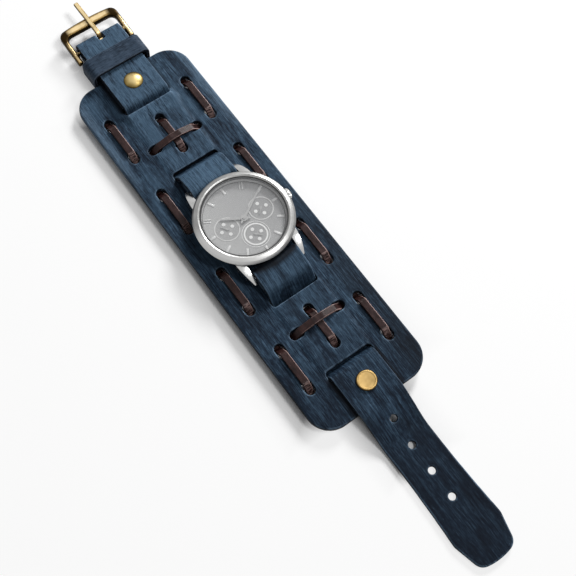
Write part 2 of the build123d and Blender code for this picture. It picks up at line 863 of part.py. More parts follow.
def subdial_rings(name):
    x, y = subdial_places()[name]
    if name == "lower":
        return Compound(children=[
            subdial_ring(x, y, subdial_bold_radius, subdial_bold_line),
            subdial_ring(x, y, subdial_outer_radius, subdial_line / 2)])
    return subdial_ring(x, y, subdial_radius, subdial_line)


def subdial_pips():
    pip = Pos(0, 0, dial_top) * extrude(RegularPolygon(pip_radius, pip_sides), subdial_line_height)
    copies = around(pips_per_dial, subdial_radius * pip_place_share, pip)
    solids = []
    for x, y in subdial_places().values():
        solids += [Pos(x, y, 0) * copy for copy in copies]
    return Compound(children=solids)


# The hands

def small_hand_low():
    return dial_top + subdial_line_height + hand_gap


def small_hand(name):
    """A slim pointer on its own arbor, which runs down into the movement."""
    x, y = subdial_places()[name]
    low = small_hand_low()
    reach = subdial_radius - small_hand_inset
    length = reach + small_hand_tail
    blade = Pos(0, (reach - small_hand_tail) / 2, low + small_hand_thick / 2)
    blade = blade * Box(small_hand_width, length, small_hand_thick)
    hub = disc(small_hub_radius, low, low + small_hand_thick)
    arbor = disc(small_arbor_radius, movement_top - movement_thick / 2, low)
    turned_to = Rot(0, 0, small_hand_angles[name])
    return Pos(x, y, 0) * turned_to * (blade + hub + arbor)


def hour_hand_low():
    return small_hand_low() + small_hand_thick + hand_gap


def minute_hand_low():
    return hour_hand_low() + hand_thick + hand_gap


def pointer(reach, low, bore):
    """A tapered hand with a round hub pushed onto its tube."""
    outline = Polygon((-hand_tip_width / 2, -hand_tail), (hand_tip_width / 2, -hand_tail),
                      (hand_width / 2, 0), (hand_tip_width / 2, reach),
                      (-hand_tip_width / 2, reach), (-hand_width / 2, 0), align=None)
    blade = Pos(0, 0, low) * extrude(outline, hand_thick)
    return blade + disc(hand_hub_radius, low, low + hand_thick) - disc(
        bore, low - cut_over, low + cut_over)


def hour_hand():
    reach = dial_radius - hour_hand_inset
    hand = pointer(reach, hour_hand_low(), hour_tube_radius + pin_fit)
    return Rot(0, 0, hour_hand_angle) * hand


def minute_hand():
    reach = dial_radius - minute_hand_inset
    hand = pointer(reach, minute_hand_low(), cannon_radius + pin_fit)
    return Rot(0, 0, minute_hand_angle) * hand


def hour_wheel():
    """Tube that carries the hour hand, on a wheel under the dial."""
    low = movement_top - hour_disc_thick - seat_fit
    body = disc(hour_tube_radius, low, hour_hand_low() + hand_thick)
    body += disc(hour_disc_radius, low, low + hour_disc_thick)
    return body - disc(cannon_radius + arbor_fit, low - cut_over, minute_hand_low())


def cannon_pinion():
    """Inner tube that carries the minute hand."""
    low = movement_top - movement_thick / 2
    top = minute_hand_low() + hand_thick + cannon_cap_height
    return disc(cannon_radius, low, top)


# The movement

def movement_spacer():
    """Plastic ring between the case and the movement, open for the stem."""
    body = ring(dial_radius, movement_radius + spacer_fit, back_top + back_plug + seat_fit,
                movement_top)
    return body - rod(collar_radius + spacer_fit, 0, case_radius, 0, crown_z)


def movement_plate():
    body = disc(movement_radius, movement_bottom, movement_top)
    wheel_recess = disc(hour_disc_radius + pocket_play,
                        movement_top - hour_disc_thick - 2 * seat_fit, movement_top + cut_over)
    arbor_low = movement_top - movement_thick / 2 - seat_fit
    bores = [disc(cannon_radius + arbor_fit, arbor_low, movement_top + cut_over)]
    for x, y in subdial_places().values():
        bores.append(Pos(x, y, 0) * disc(small_arbor_radius + arbor_fit, arbor_low,
                                         movement_top + cut_over))
    battery = Pos(battery_x, battery_y, 0) * disc(
        battery_radius + pocket_play, movement_bottom - cut_over,
        movement_bottom + battery_thick - clamp_thick)
    coil_deep = 2 * coil_radius + 2 * pocket_play
    coil = Pos(coil_x, coil_y, movement_bottom + coil_deep / 2 - cut_over / 2) * Box(
        coil_length + 2 * pocket_play, coil_deep, coil_deep + cut_over)
    stem = rod(stem_radius + stem_fit, stem_inner_end - pocket_play, case_radius, 0, crown_z)
    pocket_from = yoke_x - yoke_thick / 2 - collar_thick - pocket_play
    pocket_to = yoke_x + yoke_thick / 2 + collar_thick + crown_travel + pocket_play
    pocket_top = crown_z + collar_radius + pocket_play
    pocket = Pos((pocket_from + pocket_to) / 2, 0, (movement_bottom - cut_over + pocket_top) / 2)
    pocket = pocket * Box(pocket_to - pocket_from, 2 * (yoke_half_width + pocket_play),
                          pocket_top - movement_bottom + cut_over)
    return body - [wheel_recess, battery, coil, stem, pocket] - bores


def battery_cell():
    low = movement_bottom - clamp_thick
    return Pos(battery_x, battery_y, 0) * disc(battery_radius, low, low + battery_thick)


def battery_clamp():
    """A thin sprung strap across the cell, held at both ends to the plate."""
    span = 2 * (battery_radius + clamp_foot)
    low = movement_bottom - 2 * clamp_thick - seat_fit
    bridge = Pos(battery_x, battery_y, low + clamp_thick / 2) * Box(clamp_width, span, clamp_thick)
    feet = []
    for way in (-1, 1):
        foot_y = battery_y + way * (span - clamp_foot / 2) / 2
        foot = Pos(battery_x, foot_y, low + clamp_thick)
        feet.append(foot * Box(clamp_width, clamp_foot / 2, 2 * clamp_thick))
    return bridge + feet


def circuit_board():
    """A half-moon board under the coil's side of the plate."""
    edge_y = battery_y - battery_radius - 2 * clamp_foot
    plate = disc(movement_radius - pocket_play, board_bottom, board_bottom + board_thick)
    away = Pos(0, edge_y + movement_radius, board_bottom) * Box(
        2 * movement_radius, 2 * movement_radius, cut_over)
    return plate - away


def coil():
    wound = Rot(0, 90, 0) * Cylinder(coil_radius, coil_length - 2 * coil_end)
    ends = [Pos(way * (coil_length - coil_end) / 2, 0, 0) * Box(
        coil_end, 2 * coil_radius, 2 * coil_radius) for way in (-1, 1)]
    return Pos(coil_x, coil_y, movement_bottom + coil_radius + seat_fit) * (wound + ends)


# The crown and its stem

def crown_start():
    return case_radius + tube_stand + crown_gap


def crown_outline():
    """Star-shaped section of the fluted rim."""
    points = []
    for step in range(2 * crown_flutes):
        angle = pi * step / crown_flutes
        radius = crown_radius - (step % 2) * crown_flute_depth
        points.append((radius * cos(angle), radius * sin(angle)))
    return make_face(Polyline(*points, close=True))


def crown():
    """A small fluted knob with bevelled ends and a blind bore for the stem."""
    start = crown_start() - crown_gap / 2
    turn = Pos(start, 0, crown_z) * Rot(0, 90, 0)
    body = turn * extrude(crown_outline(), crown_length)
    blank = [(0, 0), (crown_radius - crown_flute_depth, 0), (crown_radius, crown_flute_depth),
             (crown_radius, crown_length - crown_dome), (crown_radius - crown_dome, crown_length),
             (0, crown_length)]
    body = body & (turn * turned(blank))
    recess = rod(tube_radius + crown_recess_clear, start - cut_over, start + crown_recess,
                 0, crown_z)
    bore = rod(stem_radius + pin_fit, start, start + crown_bore, 0, crown_z)
    return body - recess - bore


def winding_stem():
    """A rod from the crown to the movement, with two collars that hold the yoke."""
    end = crown_start() - crown_gap / 2 + crown_bore - pin_fit
    body = rod(stem_radius, stem_inner_end, end, 0, crown_z)
    for way in (-1, 1):
        near = yoke_x + way * (yoke_thick / 2 + seat_fit)
        body += rod(collar_radius, near, near + way * collar_thick, 0, crown_z)
    return body


def stem_yoke():
    """A fork plate that moves out with the stem but doesn't turn with it."""
    plate = Pos(yoke_x, 0, crown_z) * Box(yoke_thick, 2 * yoke_half_width, yoke_height)
    return plate - rod(stem_radius + stem_fit, yoke_x - yoke_thick, yoke_x + yoke_thick, 0, crown_z)


def crown_tube():
    inner = case_bore + seat_fit
    tube = rod(tube_radius, inner, case_radius + tube_stand, 0, crown_z)
    return tube - rod(tube_radius - tube_wall, 0, case_radius + case_wall, 0, crown_z)


def crown_gasket():
    """A small ring on the stem inside the tube."""
    middle = case_radius - case_wall / 2
    outer = tube_radius - tube_wall - seat_fit / 2
    body = rod(outer, middle - oring_radius, middle + oring_radius, 0, crown_z)
    return body - rod(stem_radius + seat_fit / 2, 0, 2 * case_radius, 0, crown_z)


# The spring bars

def bar_tube(side):
    tube = rod(bar_tube_radius, -bar_tube_half, bar_tube_half, side * bar_y, bar_z)
    bore = rod(bar_shank_radius + bar_bore_fit, -lug_gap, lug_gap, side * bar_y, bar_z)
    return tube - bore


def bar_pin(side, way):
    """A shouldered pin whose tip sits in the lug and whose shank runs in the tube."""
    inner = lug_gap / 2
    shoulder_out = inner - bar_pin_fit
    shoulder_in = shoulder_out - bar_shoulder_length
    y = side * bar_y
    return (rod(bar_pin_radius, way * shoulder_out, way * (inner + bar_pin_reach), y, bar_z)
            + rod(bar_shoulder_radius, way * shoulder_in, way * shoulder_out, y, bar_z)
            + rod(bar_shank_radius, way * (shoulder_in - bar_shank_length), way * shoulder_in,
                  y, bar_z))


def bar_spring(side):
    """The close-wound spring between the two shanks, as the sleeve that it fills."""
    end = lug_gap / 2 - bar_pin_fit - bar_shoulder_length - bar_shank_length - bar_pin_travel
    sleeve = rod(bar_shank_radius, -end, end, side * bar_y, bar_z)
    return sleeve - rod(bar_shank_radius - bar_spring_wall, -lug_gap, lug_gap, side * bar_y, bar_z)


def build():
    parts = {
        "cuff_base": cuff_base(),
        "buckle_strap": buckle_strap(),
        "tail_strap": tail_strap(),
        "keeper_loop": keeper_loop(),
        "side_lace_left": side_lace(-side_lace_x),
        "side_lace_right": side_lace(side_lace_x),
        "cross_upright_upper": cross_upright(1),
        "cross_bar_upper": cross_bar(1),
        "cross_upright_lower": cross_upright(-1),
        "cross_bar_lower": cross_bar(-1),
        "buckle_rivet_cap": domed_cap(),
        "buckle_rivet_post": rivet_post(rivet_y, double_top),
        "tail_rivet_cap": rimmed_cap(),
        "tail_rivet_post": rivet_post(-rivet_y, over_top),
        "buckle_frame": buckle_frame(),
        "buckle_pin": buckle_pin(),
        "buckle_tongue": buckle_tongue(),
        "case_body": case_body(),
        "bezel": bezel(),
        "crystal": crystal(),
        "crystal_gasket": crystal_gasket(),
        "rehaut_ring": rehaut_ring(),
        "case_back": case_back(),
        "case_back_gasket": case_back_gasket(),
        "dial": dial(),
        "hour_markers": hour_markers(),
        "subdial_pips": subdial_pips(),
        "hour_hand": hour_hand(),
        "minute_hand": minute_hand(),
        "hour_wheel": hour_wheel(),
        "cannon_pinion": cannon_pinion(),
        "movement_spacer": movement_spacer(),
        "movement_plate": movement_plate(),
        "battery_cell": battery_cell(),
        "battery_clamp": battery_clamp(),
        "circuit_board": circuit_board(),
        "coil": coil(),
        "crown": crown(),
        "winding_stem": winding_stem(),
        "stem_yoke": stem_yoke(),
        "crown_tube": crown_tube(),
        "crown_gasket": crown_gasket(),
        "spring_bar_tube_upper": bar_tube(1),
        "spring_bar_tube_lower": bar_tube(-1),
        "bar_spring_upper": bar_spring(1),
        "bar_spring_lower": bar_spring(-1),
    }
    for name in subdial_places():
        parts["subdial_ring_" + name] = subdial_rings(name)
        parts["small_hand_" + name] = small_hand(name)
    for side, height in ((1, "upper"), (-1, "lower")):
        for way, hand in ((1, "right"), (-1, "left")):
            parts["spring_pin_" + height + "_" + hand] = bar_pin(side, way)
    return parts


os.makedirs("parts", exist_ok=True)
for node, shape in build().items():
    export_step(shape, "parts/" + node + ".step")
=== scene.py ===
"""Looks for the cuff watch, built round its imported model. Lengths are in metres."""
import json
import math

import bmesh
import bpy
import numpy as np
from mathutils import Matrix, Vector

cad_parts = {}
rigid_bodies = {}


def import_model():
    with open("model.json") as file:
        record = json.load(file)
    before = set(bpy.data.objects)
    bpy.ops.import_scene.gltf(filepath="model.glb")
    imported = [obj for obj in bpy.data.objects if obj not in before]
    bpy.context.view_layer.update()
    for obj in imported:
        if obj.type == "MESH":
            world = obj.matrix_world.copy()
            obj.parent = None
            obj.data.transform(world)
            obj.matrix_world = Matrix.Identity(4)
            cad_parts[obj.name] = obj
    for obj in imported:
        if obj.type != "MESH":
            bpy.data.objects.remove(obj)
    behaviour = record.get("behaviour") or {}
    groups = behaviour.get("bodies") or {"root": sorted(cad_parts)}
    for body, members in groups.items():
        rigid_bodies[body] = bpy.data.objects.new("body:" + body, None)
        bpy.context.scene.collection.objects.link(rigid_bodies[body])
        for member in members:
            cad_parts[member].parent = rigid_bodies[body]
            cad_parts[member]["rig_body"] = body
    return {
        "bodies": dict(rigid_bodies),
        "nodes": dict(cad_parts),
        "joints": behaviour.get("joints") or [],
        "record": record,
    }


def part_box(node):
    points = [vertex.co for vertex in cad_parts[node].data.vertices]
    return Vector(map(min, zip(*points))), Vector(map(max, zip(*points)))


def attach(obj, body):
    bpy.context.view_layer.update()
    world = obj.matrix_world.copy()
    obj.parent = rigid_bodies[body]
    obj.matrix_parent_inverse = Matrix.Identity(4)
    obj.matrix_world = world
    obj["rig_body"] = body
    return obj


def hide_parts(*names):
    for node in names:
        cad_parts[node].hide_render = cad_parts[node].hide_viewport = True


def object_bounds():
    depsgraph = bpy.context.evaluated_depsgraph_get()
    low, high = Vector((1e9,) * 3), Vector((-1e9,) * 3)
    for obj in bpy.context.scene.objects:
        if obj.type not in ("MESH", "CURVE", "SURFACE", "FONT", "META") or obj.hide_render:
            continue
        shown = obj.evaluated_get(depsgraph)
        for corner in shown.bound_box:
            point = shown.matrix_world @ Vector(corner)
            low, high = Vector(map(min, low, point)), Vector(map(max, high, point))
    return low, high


MM = 0.001
WHITE = (1.0, 1.0, 1.0, 1.0)

# Camera, fitted to the photograph
CAMERA_TARGET = Vector((-0.18, -29.64, -1.95)) * MM
CAMERA_DISTANCE = 398.8 * MM
CAMERA_AZIMUTH = -42.51
CAMERA_ELEVATION = 67.73
CAMERA_ROLL = 6.80
CAMERA_LENS = 64.65
CAMERA_SENSOR = 36.0
CAMERA_NEAR = 10 * MM
CAMERA_FAR = 20.0

# Lamps and world
KEY_PLACE = (0.78, 0.46, 0.52)
KEY_SIZE = 0.30
KEY_WATTS = 12.4
FILL_PLACE = (0.95, -0.85, 2.10)
FILL_SIZE = 0.60
FILL_WATTS = 20.5
WORLD_LEVEL = 0.12

# Floor: a painted glow beside the object, past its ends and under the tail's last two holes, which
# thins the object's shadow there
FLOOR_SIZE = 4.0
FLOOR_GAP = 0.02 * MM
FLOOR_GREY = 0.97
FLOOR_GLOW = 0.74
GLOW_BESIDE = (25 * MM, 40 * MM)
GLOW_ENDS = (74 * MM, 84 * MM)
GLOW_NARROW = (9 * MM, 20 * MM)
GLOW_TAIL = (-110 * MM, -116 * MM)

# Leather: colours from dark to light, and the sizes of its streaks and patches
NAVY = ((0.0018, 0.0038, 0.0086), (0.0088, 0.0180, 0.0340), (0.047, 0.088, 0.138))
KEEPER_NAVY = ((0.0055, 0.009, 0.016), (0.0115, 0.019, 0.032), (0.024, 0.040, 0.064))
CUT_COLOUR = (0.0060, 0.0048, 0.0062)
# Painted shade: the colour laid beside the straps, on the base's right side below the head and
# under the bezel
PAINTED_SHADE_COLOUR = (0.0030, 0.0032, 0.0045)
BASE_STREAKS = (0.45 * MM, 10 * MM, 1.2 * MM)
STRAP_STREAKS = (0.32 * MM, 10 * MM, 10 * MM)
KEEPER_STREAKS = (5 * MM, 0.8 * MM, 5 * MM)
FINE_SHARE = 0.6
BROAD_SHARE = 3.5
PATCH_CELL = (7 * MM, 20 * MM, 7 * MM)
MOTTLE_CELL = (1.3 * MM, 2.4 * MM, 1.3 * MM)
PORE_CELL = (0.22 * MM, 0.5 * MM, 0.22 * MM)
LEATHER_GRAIN = 0.20 * MM
LEATHER_SHINE = 0.07

# Leather: the streaks' blend, and how much of each noise shows as dust, stains, wear or painted
# highlight, and how much painted shade shows.
# A span has a low and a high end, and where it has four numbers, its shares at both ends.
FINE_WEIGHT = 0.60
BROAD_WEIGHT = 0.24
MOTTLE_WEIGHT = 0.16
STREAK_STOPS = (0.40, 0.49, 0.59)
STREAK_SPAN = (0.40, 0.56)
DUST_SPAN = (0.46, 0.68)
STAIN_SPAN = (0.50, 0.34)
SCRATCH_SPAN = (0.62, 0.70)
SCRATCH_PATCH = (0.42, 0.60, 0.15, 0.80)
WORN_SPAN = (0.514, 0.538)
WORN_STREAKS = (0.38, 0.58, 0.15, 0.85)
CUT_AROUND = (0.55, 0.25)
CUT_ACROSS = (0.60, 0.88)
CUT_SHARE = 0.85
PAINTED_SHADE_SHARE = 0.9
RUBBED_HIGHLIGHT_TINT = (1.5, 0.010)
WORN_TINT = (1.7, 0.055)

# Leather: where its high parts get wear and a painted highlight, where it is dusty, stained, dark
# or worn, and where painted shade falls. The tail lies towards negative Y.
# Painted highlight, with wear: the leather's high parts lightened, more towards the buckle
RUBBED_HIGHLIGHT_RUN = (-45 * MM, 25 * MM, 0.25, 1.0)
RUBBED_HIGHLIGHT_SHARE = 0.90
BASE_RUBBED_HIGHLIGHT = (2.5 * MM, 3.4 * MM)
STRAP_RUBBED_HIGHLIGHT = (4.7 * MM, 6.4 * MM)
AGED_RUN = (-110 * MM, 90 * MM)
DUST_SHARES = (0.08, 0.75)
STAIN_LESS = 0.35
BASE_DUSK = (-46 * MM, -76 * MM, 0.0, 0.36)
TAIL_DUSK = (-92 * MM, -112 * MM, 0.0, 0.60)
TAIL_RIM_OUT = (5.5 * MM, 9.0 * MM, 0.0, 0.6)
TAIL_RIM_RUN = (-80 * MM, -92 * MM)
BASE_RIM_OUT = (21.0 * MM, 24.5 * MM, 0.0, 0.55)
BASE_RIM_RUN = (32 * MM, 50 * MM)
BASE_RIM_STREAKS = (0.40, 0.56, 0.35, 1.0)
# Where painted shade falls: beside the straps on the base's ends, on its right side below the
# head, and on the lower strap under the bezel
STRAP_BESIDE = (9.6 * MM, 10.2 * MM)
STRAP_CLEAR = (12.6 * MM, 10.9 * MM)
BASE_ENDS = (68.0 * MM, 69.5 * MM)
RIGHT_SIDE = (14.0 * MM, 20.0 * MM)
RIGHT_RUN = (14.0 * MM, -6.0 * MM, 0.0, 0.50)
BEZEL_SHADE = (24.0 * MM, 22.4 * MM)
BEZEL_SHADE_RUN = (-8.0 * MM, -12.0 * MM)

# Laces
LACE_BROWN = ((0.006, 0.0022, 0.0022), (0.020, 0.0078, 0.0072), (0.050, 0.025, 0.023))
# Painted highlights on the laces: on edges facing +X, and on bends facing -Y
LACE_EDGE_HIGHLIGHT = (0.42, 0.29, 0.27)
LACE_BEND_HIGHLIGHT = (0.30, 0.20, 0.185)
LACE_CLOUD_CELL = (1.5 * MM, 3.5 * MM, 1.5 * MM)
LACE_PORE_CELL = 0.25 * MM
LACE_CREASE_CELL = (2.0 * MM, 0.35 * MM, 2.0 * MM)
LACE_GRAIN = 0.07 * MM
LACE_SHINE = 0.18
LACE_WIDTH_SHARE = 0.89

# Brass of the buckle and rivets: painted shade on its sides to a painted highlight on top,
# patinated corners, painted shade on one arm and painted highlight bands
BUCKLE_BRASS = ((0.020, 0.012, 0.004), (0.22, 0.145, 0.052), (0.68, 0.54, 0.30))
FRAME_BRASS = ((0.020, 0.012, 0.004), (0.22, 0.145, 0.052), (0.64, 0.50, 0.28))
PIN_BRASS = ((0.020, 0.012, 0.004), (0.18, 0.12, 0.045), (0.50, 0.38, 0.20))
RIVET_BRASS = ((0.050, 0.034, 0.008), (0.27, 0.195, 0.070), (0.50, 0.39, 0.18))
STUD_BRASS = ((0.060, 0.036, 0.010), (0.26, 0.165, 0.055), (0.42, 0.285, 0.115))
BRASS_CLOUD_CELL = 4 * MM
BRASS_PIT_CELL = 0.3 * MM
BRASS_GRAIN = 0.01 * MM
PATINA_CORNER_IN = (5.0 * MM, 3.2 * MM)
PATINA_CORNER_BACK = (10.0 * MM, 6.0 * MM)
# Painted shade along the buckle frame's left arm
SHADED_ARM_IN = (6.0 * MM, 3.0 * MM)
SHADED_ARM_FROM = (3.0 * MM, 6.0 * MM)
SHADED_ARM_SHARE = 0.45
# Painted highlight bands along the tongue, the front bar and the arms
TONGUE_HIGHLIGHT = (0.95 * MM, 0.35 * MM, 0.30, 1.0)
BAR_DEPTH = 4.2 * MM
BAR_HIGHLIGHT_IN = 2.5 * MM
BAR_HIGHLIGHT = (1.25 * MM, 0.45 * MM, 0.42, 1.0)
ARM_FADE = 1.0 * MM
ARM_SHARE = 0.85

# Watch head
SATIN_CELL = 0.5 * MM
SATIN_GRAIN = 0.02 * MM
BRUSHED_CELL = 0.08 * MM
BRUSHED_GRAIN = 0.01 * MM
POLISHED_GRAIN = 0.003 * MM
STEEL_CLOUD_CELL = 3 * MM
STEEL_CLOUD_SHARE = 0.82
# Painted highlight on the bezel's side towards 8 o'clock
PAINTED_HIGHLIGHT_RUN = (-12.0 * MM, -18.0 * MM)
PAINTED_HIGHLIGHT_SHARE = 1.5
PLAIN_CLOUD_CELL = 0.9 * MM
PLAIN_CLOUD_SHARE = 0.85
# Painted reflection across the dial: paler towards -X, duller towards +X
DIAL_SPAN = (-14 * MM, 14 * MM)
DIAL_PALE = (0.355, 0.355, 0.352)
DIAL_GREY = (0.285, 0.285, 0.285)
DIAL_DULL = (0.215, 0.215, 0.215)
DIAL_DARK = (0.12, 0.12, 0.12)
DIAL_GRAIN_CELL = 0.16 * MM
DIAL_GRAIN_SHARE = 0.18
DIAL_GRAIN = 0.015 * MM
SUBDIAL_EDGE = (0.1 * MM, 0.5 * MM)
SUBDIAL_SHARE = 0.28
BATON_GRAIN_CELL = 0.3 * MM
BATON_GREYS = ((0.42, 0.42, 0.415), (0.68, 0.68, 0.675))
BATON_SIDE_SHADE = (0.16, 0.16, 0.158)
REHAUT_CORNER_SHADE = (0.02, 0.02, 0.02)
REHAUT_SILVER = (0.50, 0.50, 0.495)
REHAUT_DULL = (0.10, 0.10, 0.10)
REHAUT_CLOUD_CELL = 1.5 * MM

# Finish of the shapes: voxels and rounds of smoothing, or the width of a rounded edge
WELD = 0.001 * MM
SMOOTH_SHARE = 0.5
SKIN_VOXEL = 0.34 * MM
SKIN_ROUNDS = 4
KEEPER_VOXEL = 0.22 * MM
KEEPER_ROUNDS = 5
LACE_VOXEL = 0.18 * MM
LACE_ROUNDS = 4
FRAME_VOXEL = 0.14 * MM
FRAME_ROUNDS = 44
TONGUE_VOXEL = 0.10 * MM
TONGUE_ROUNDS = 26
FLAT_ANGLE = 0.5
SHARP_ANGLE = 30.0
EDGE_SEGMENTS = 3
RIVET_EDGE = 0.12 * MM
CASE_EDGE = 0.35 * MM
MARKER_EDGE = 0.12 * MM
CROWN_EDGE = 0.08 * MM
BEZEL_EDGE = 0.12 * MM

# Form of the base: bands over the straps, the lip of the buckle-end slot, slots drawn in
LEATHER_TOP = 2.4 * MM
EMBOSS_HALF_WIDTH = 10.9 * MM
EMBOSS_FROM = 33.5 * MM
EMBOSS_TO = 66.5 * MM
EMBOSS_SOFT = 1.1 * MM
EMBOSS_HEIGHT = 0.35 * MM
EMBOSS_BOTTOM = 1.0 * MM
LIP_FROM = 59.0 * MM
LIP_TO = 66.3 * MM
LIP_END = 69.6 * MM
LIP_HALF_WIDTH = 13.0 * MM
LIP_SOFT = 3.0 * MM
LIP_HEIGHT = 1.3 * MM
LIP_REACH = 0.4 * MM
DIVE_SHIFT = 2.3 * MM
DIVE_FROM = 61.5 * MM
DIVE_END = 70.5 * MM
DIVE_CLEAR = 76.2 * MM
SLOT_PLACES = (32.5 * MM, 68.4 * MM)
SLOT_REACH = 3.2 * MM
SLOT_REACH_SHARE = 0.6
SLOT_SIDE = 10.8 * MM
SLOT_SIDE_SHARE = 0.8
SLOT_FADE = 14.5 * MM
SLOT_PINCH = 0.5 * MM


def start():
    """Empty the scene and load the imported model."""
    for thing in list(bpy.data.objects):
        bpy.data.objects.remove(thing)
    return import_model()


frame = start()
cad_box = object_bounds()


# Shader nodes
def add(tree, kind, inputs=None, **settings):
    """Add a shader node, with its inputs set to values or joined to sockets."""
    node = tree.nodes.new("ShaderNode" + kind)
    for name, value in settings.items():
        setattr(node, name, value)
    for name, value in (inputs or {}).items():
        if isinstance(value, bpy.types.NodeSocket):
            tree.links.new(value, node.inputs[name])
        else:
            node.inputs[name].default_value = value
    return node


def look(name, colour, roughness, metallic=0.0, sockets=None):
    """A new material with one principled shader."""
    material = bpy.data.materials.new(name)
    material.use_nodes = True
    shader = material.node_tree.nodes["Principled BSDF"]
    shader.inputs["Base Color"].default_value = (*colour, 1.0)
    shader.inputs["Roughness"].default_value = roughness
    shader.inputs["Metallic"].default_value = metallic
    for socket, value in (sockets or {}).items():
        shader.inputs[socket].default_value = value
    return material


def join(material, socket, source):
    """Lead a node's output to one socket of the material's shader."""
    tree = material.node_tree
    tree.links.new(source, tree.nodes["Principled BSDF"].inputs[socket])


def place_of(tree):
    """X, Y and Z of the surface, along the object's own axes."""
    return add(tree, "SeparateXYZ", {0: add(tree, "TexCoord").outputs["Object"]}).outputs


def normal_of(tree):
    """X, Y and Z of the surface's direction, along the object's own axes."""
    return add(tree, "SeparateXYZ", {0: add(tree, "TexCoord").outputs["Normal"]}).outputs


def maths(tree, operation, first, *others):
    """One operation on a single value, or on several from left to right."""
    if not others:
        return add(tree, "Math", {0: first}, operation=operation).outputs[0]
    result = first
    for other in others:
        result = add(tree, "Math", {0: result, 1: other}, operation=operation).outputs[0]
    return result


def product(tree, *factors):
    return maths(tree, "MULTIPLY", *factors)


def unsigned(tree, value):
    return maths(tree, "ABSOLUTE", value)


def reach_of(tree, x, y):
    """Distance from the Z axis."""
    return maths(tree, "SQRT", maths(tree, "ADD", product(tree, x, x), product(tree, y, y)))


def level(tree, factor, low, high, to_low=0.0, to_high=1.0):
    """Spread a factor's range to another, and clamp it."""
    inputs = {"Value": factor, "From Min": low, "From Max": high,
              "To Min": to_low, "To Max": to_high}
    return add(tree, "MapRange", inputs, clamp=True).outputs["Result"]


def noise_of(tree, cell, detail=2.0, roughness=0.5):
    """Noise with cells of one size, or of three sizes along X, Y and Z."""
    sizes = cell if isinstance(cell, tuple) else (cell,) * 3
    mapping = {"Vector": add(tree, "TexCoord").outputs["Object"],
               "Scale": [1.0 / size for size in sizes]}
    placed = add(tree, "Mapping", mapping).outputs["Vector"]
    inputs = {"Vector": placed, "Scale": 1.0, "Detail": detail, "Roughness": roughness}
    return add(tree, "TexNoise", inputs).outputs["Fac"]


def ramp(tree, factor, *stops):
    """Colour ramp through (place, colour) stops."""
    node = add(tree, "ValToRGB", {"Fac": factor})
    elements = node.color_ramp.elements
    while len(elements) < len(stops):
        elements.new(1.0)
    for element, (place, colour) in zip(elements, stops):
        element.position = place
        element.color = (*colour, 1.0)
    return node.outputs["Color"]


def mix(tree, factor, first, second):
    """Blend from the first colour to the second, either of them a value or a socket."""
    ends = [end if isinstance(end, bpy.types.NodeSocket) else (*end, 1.0)
            for end in (first, second)]
    inputs = {"Fac": factor, "Color1": ends[0], "Color2": ends[1]}
    return add(tree, "MixRGB", inputs).outputs["Color"]


def bump(tree, height, depth, strength):
    inputs = {"Height": height, "Distance": depth, "Strength": strength}
    return add(tree, "Bump", inputs).outputs["Normal"]


def facing(tree, axis, low, high):
    """Rises from 0 to 1 as the surface turns to the object's own axis."""
    return level(tree, normal_of(tree)[axis], low, high)


def edge_factor(tree, low, high):
    """Rises from 0 to 1 where the surface is convex."""
    return level(tree, add(tree, "NewGeometry").outputs["Pointiness"], low, high)


def scaled(parts, factor, lift=0.0):
    """The parts of a colour or of a cell's size, scaled and lifted."""
    return tuple(lift + factor * part for part in parts)


# Leather materials
def cut_side(tree, axis):
    """1 on the sides where the leather was cut: across an axis, or all but flat for "Z"."""
    turned = unsigned(tree, normal_of(tree)[axis])
    return level(tree, turned, *(CUT_AROUND if axis == "Z" else CUT_ACROSS))


def base_painted_shade(tree):
    """Painted shade: 1 on the base close beside the straps on its ends, half on its right side
    below the head.
    """
    place = place_of(tree)
    out = unsigned(tree, place["X"])
    beside = product(tree, level(tree, out, *STRAP_CLEAR), level(tree, out, *STRAP_BESIDE),
                     level(tree, unsigned(tree, place["Y"]), *BASE_ENDS))
    side = product(tree, level(tree, place["X"], *RIGHT_SIDE),
                   level(tree, place["Y"], *RIGHT_RUN))
    return maths(tree, "MAXIMUM", beside, side)


def strap_painted_shade(tree):
    """Painted shade: 1 on the lower strap where it folds in close under the bezel."""
    place = place_of(tree)
    reach = reach_of(tree, place["X"], place["Y"])
    return product(tree, level(tree, reach, *BEZEL_SHADE),
                   level(tree, place["Y"], *BEZEL_SHADE_RUN))


def base_rim(tree):
    """The base's two long edges, towards the buckle."""
    place = place_of(tree)
    return product(tree, level(tree, unsigned(tree, place["X"]), *BASE_RIM_OUT),
                   level(tree, place["Y"], *BASE_RIM_RUN))


def tail_rim(tree):
    """The tail's two long edges."""
    place = place_of(tree)
    return product(tree, level(tree, unsigned(tree, place["X"]), *TAIL_RIM_OUT),
                   level(tree, place["Y"], *TAIL_RIM_RUN))


def leather_noises(tree, streak_cell):
    """Fine and broad streaks, both blended with a mottle, and wide patches."""
    fine = noise_of(tree, scaled(streak_cell, FINE_SHARE), 5.0, 0.72)
    broad = noise_of(tree, scaled(streak_cell, BROAD_SHARE), 3.0, 0.6)
    mottle = noise_of(tree, MOTTLE_CELL, 3.0, 0.6)
    streaks = maths(tree, "ADD", product(tree, fine, FINE_WEIGHT),
                    product(tree, broad, BROAD_WEIGHT), product(tree, mottle, MOTTLE_WEIGHT))
    patch = noise_of(tree, PATCH_CELL, 4.0, 0.65)
    return {"fine": fine, "broad": broad, "streaks": streaks, "patch": patch}


def rubbed_highlight(tree, place, noises, heights):
    """High parts of the leather, worn and given a painted highlight, most of all towards the
    buckle.
    """
    return product(tree, level(tree, place["Z"], *heights, 0.0, RUBBED_HIGHLIGHT_SHARE),
                   level(tree, noises["streaks"], *STREAK_SPAN),
                   level(tree, place["Y"], *RUBBED_HIGHLIGHT_RUN))


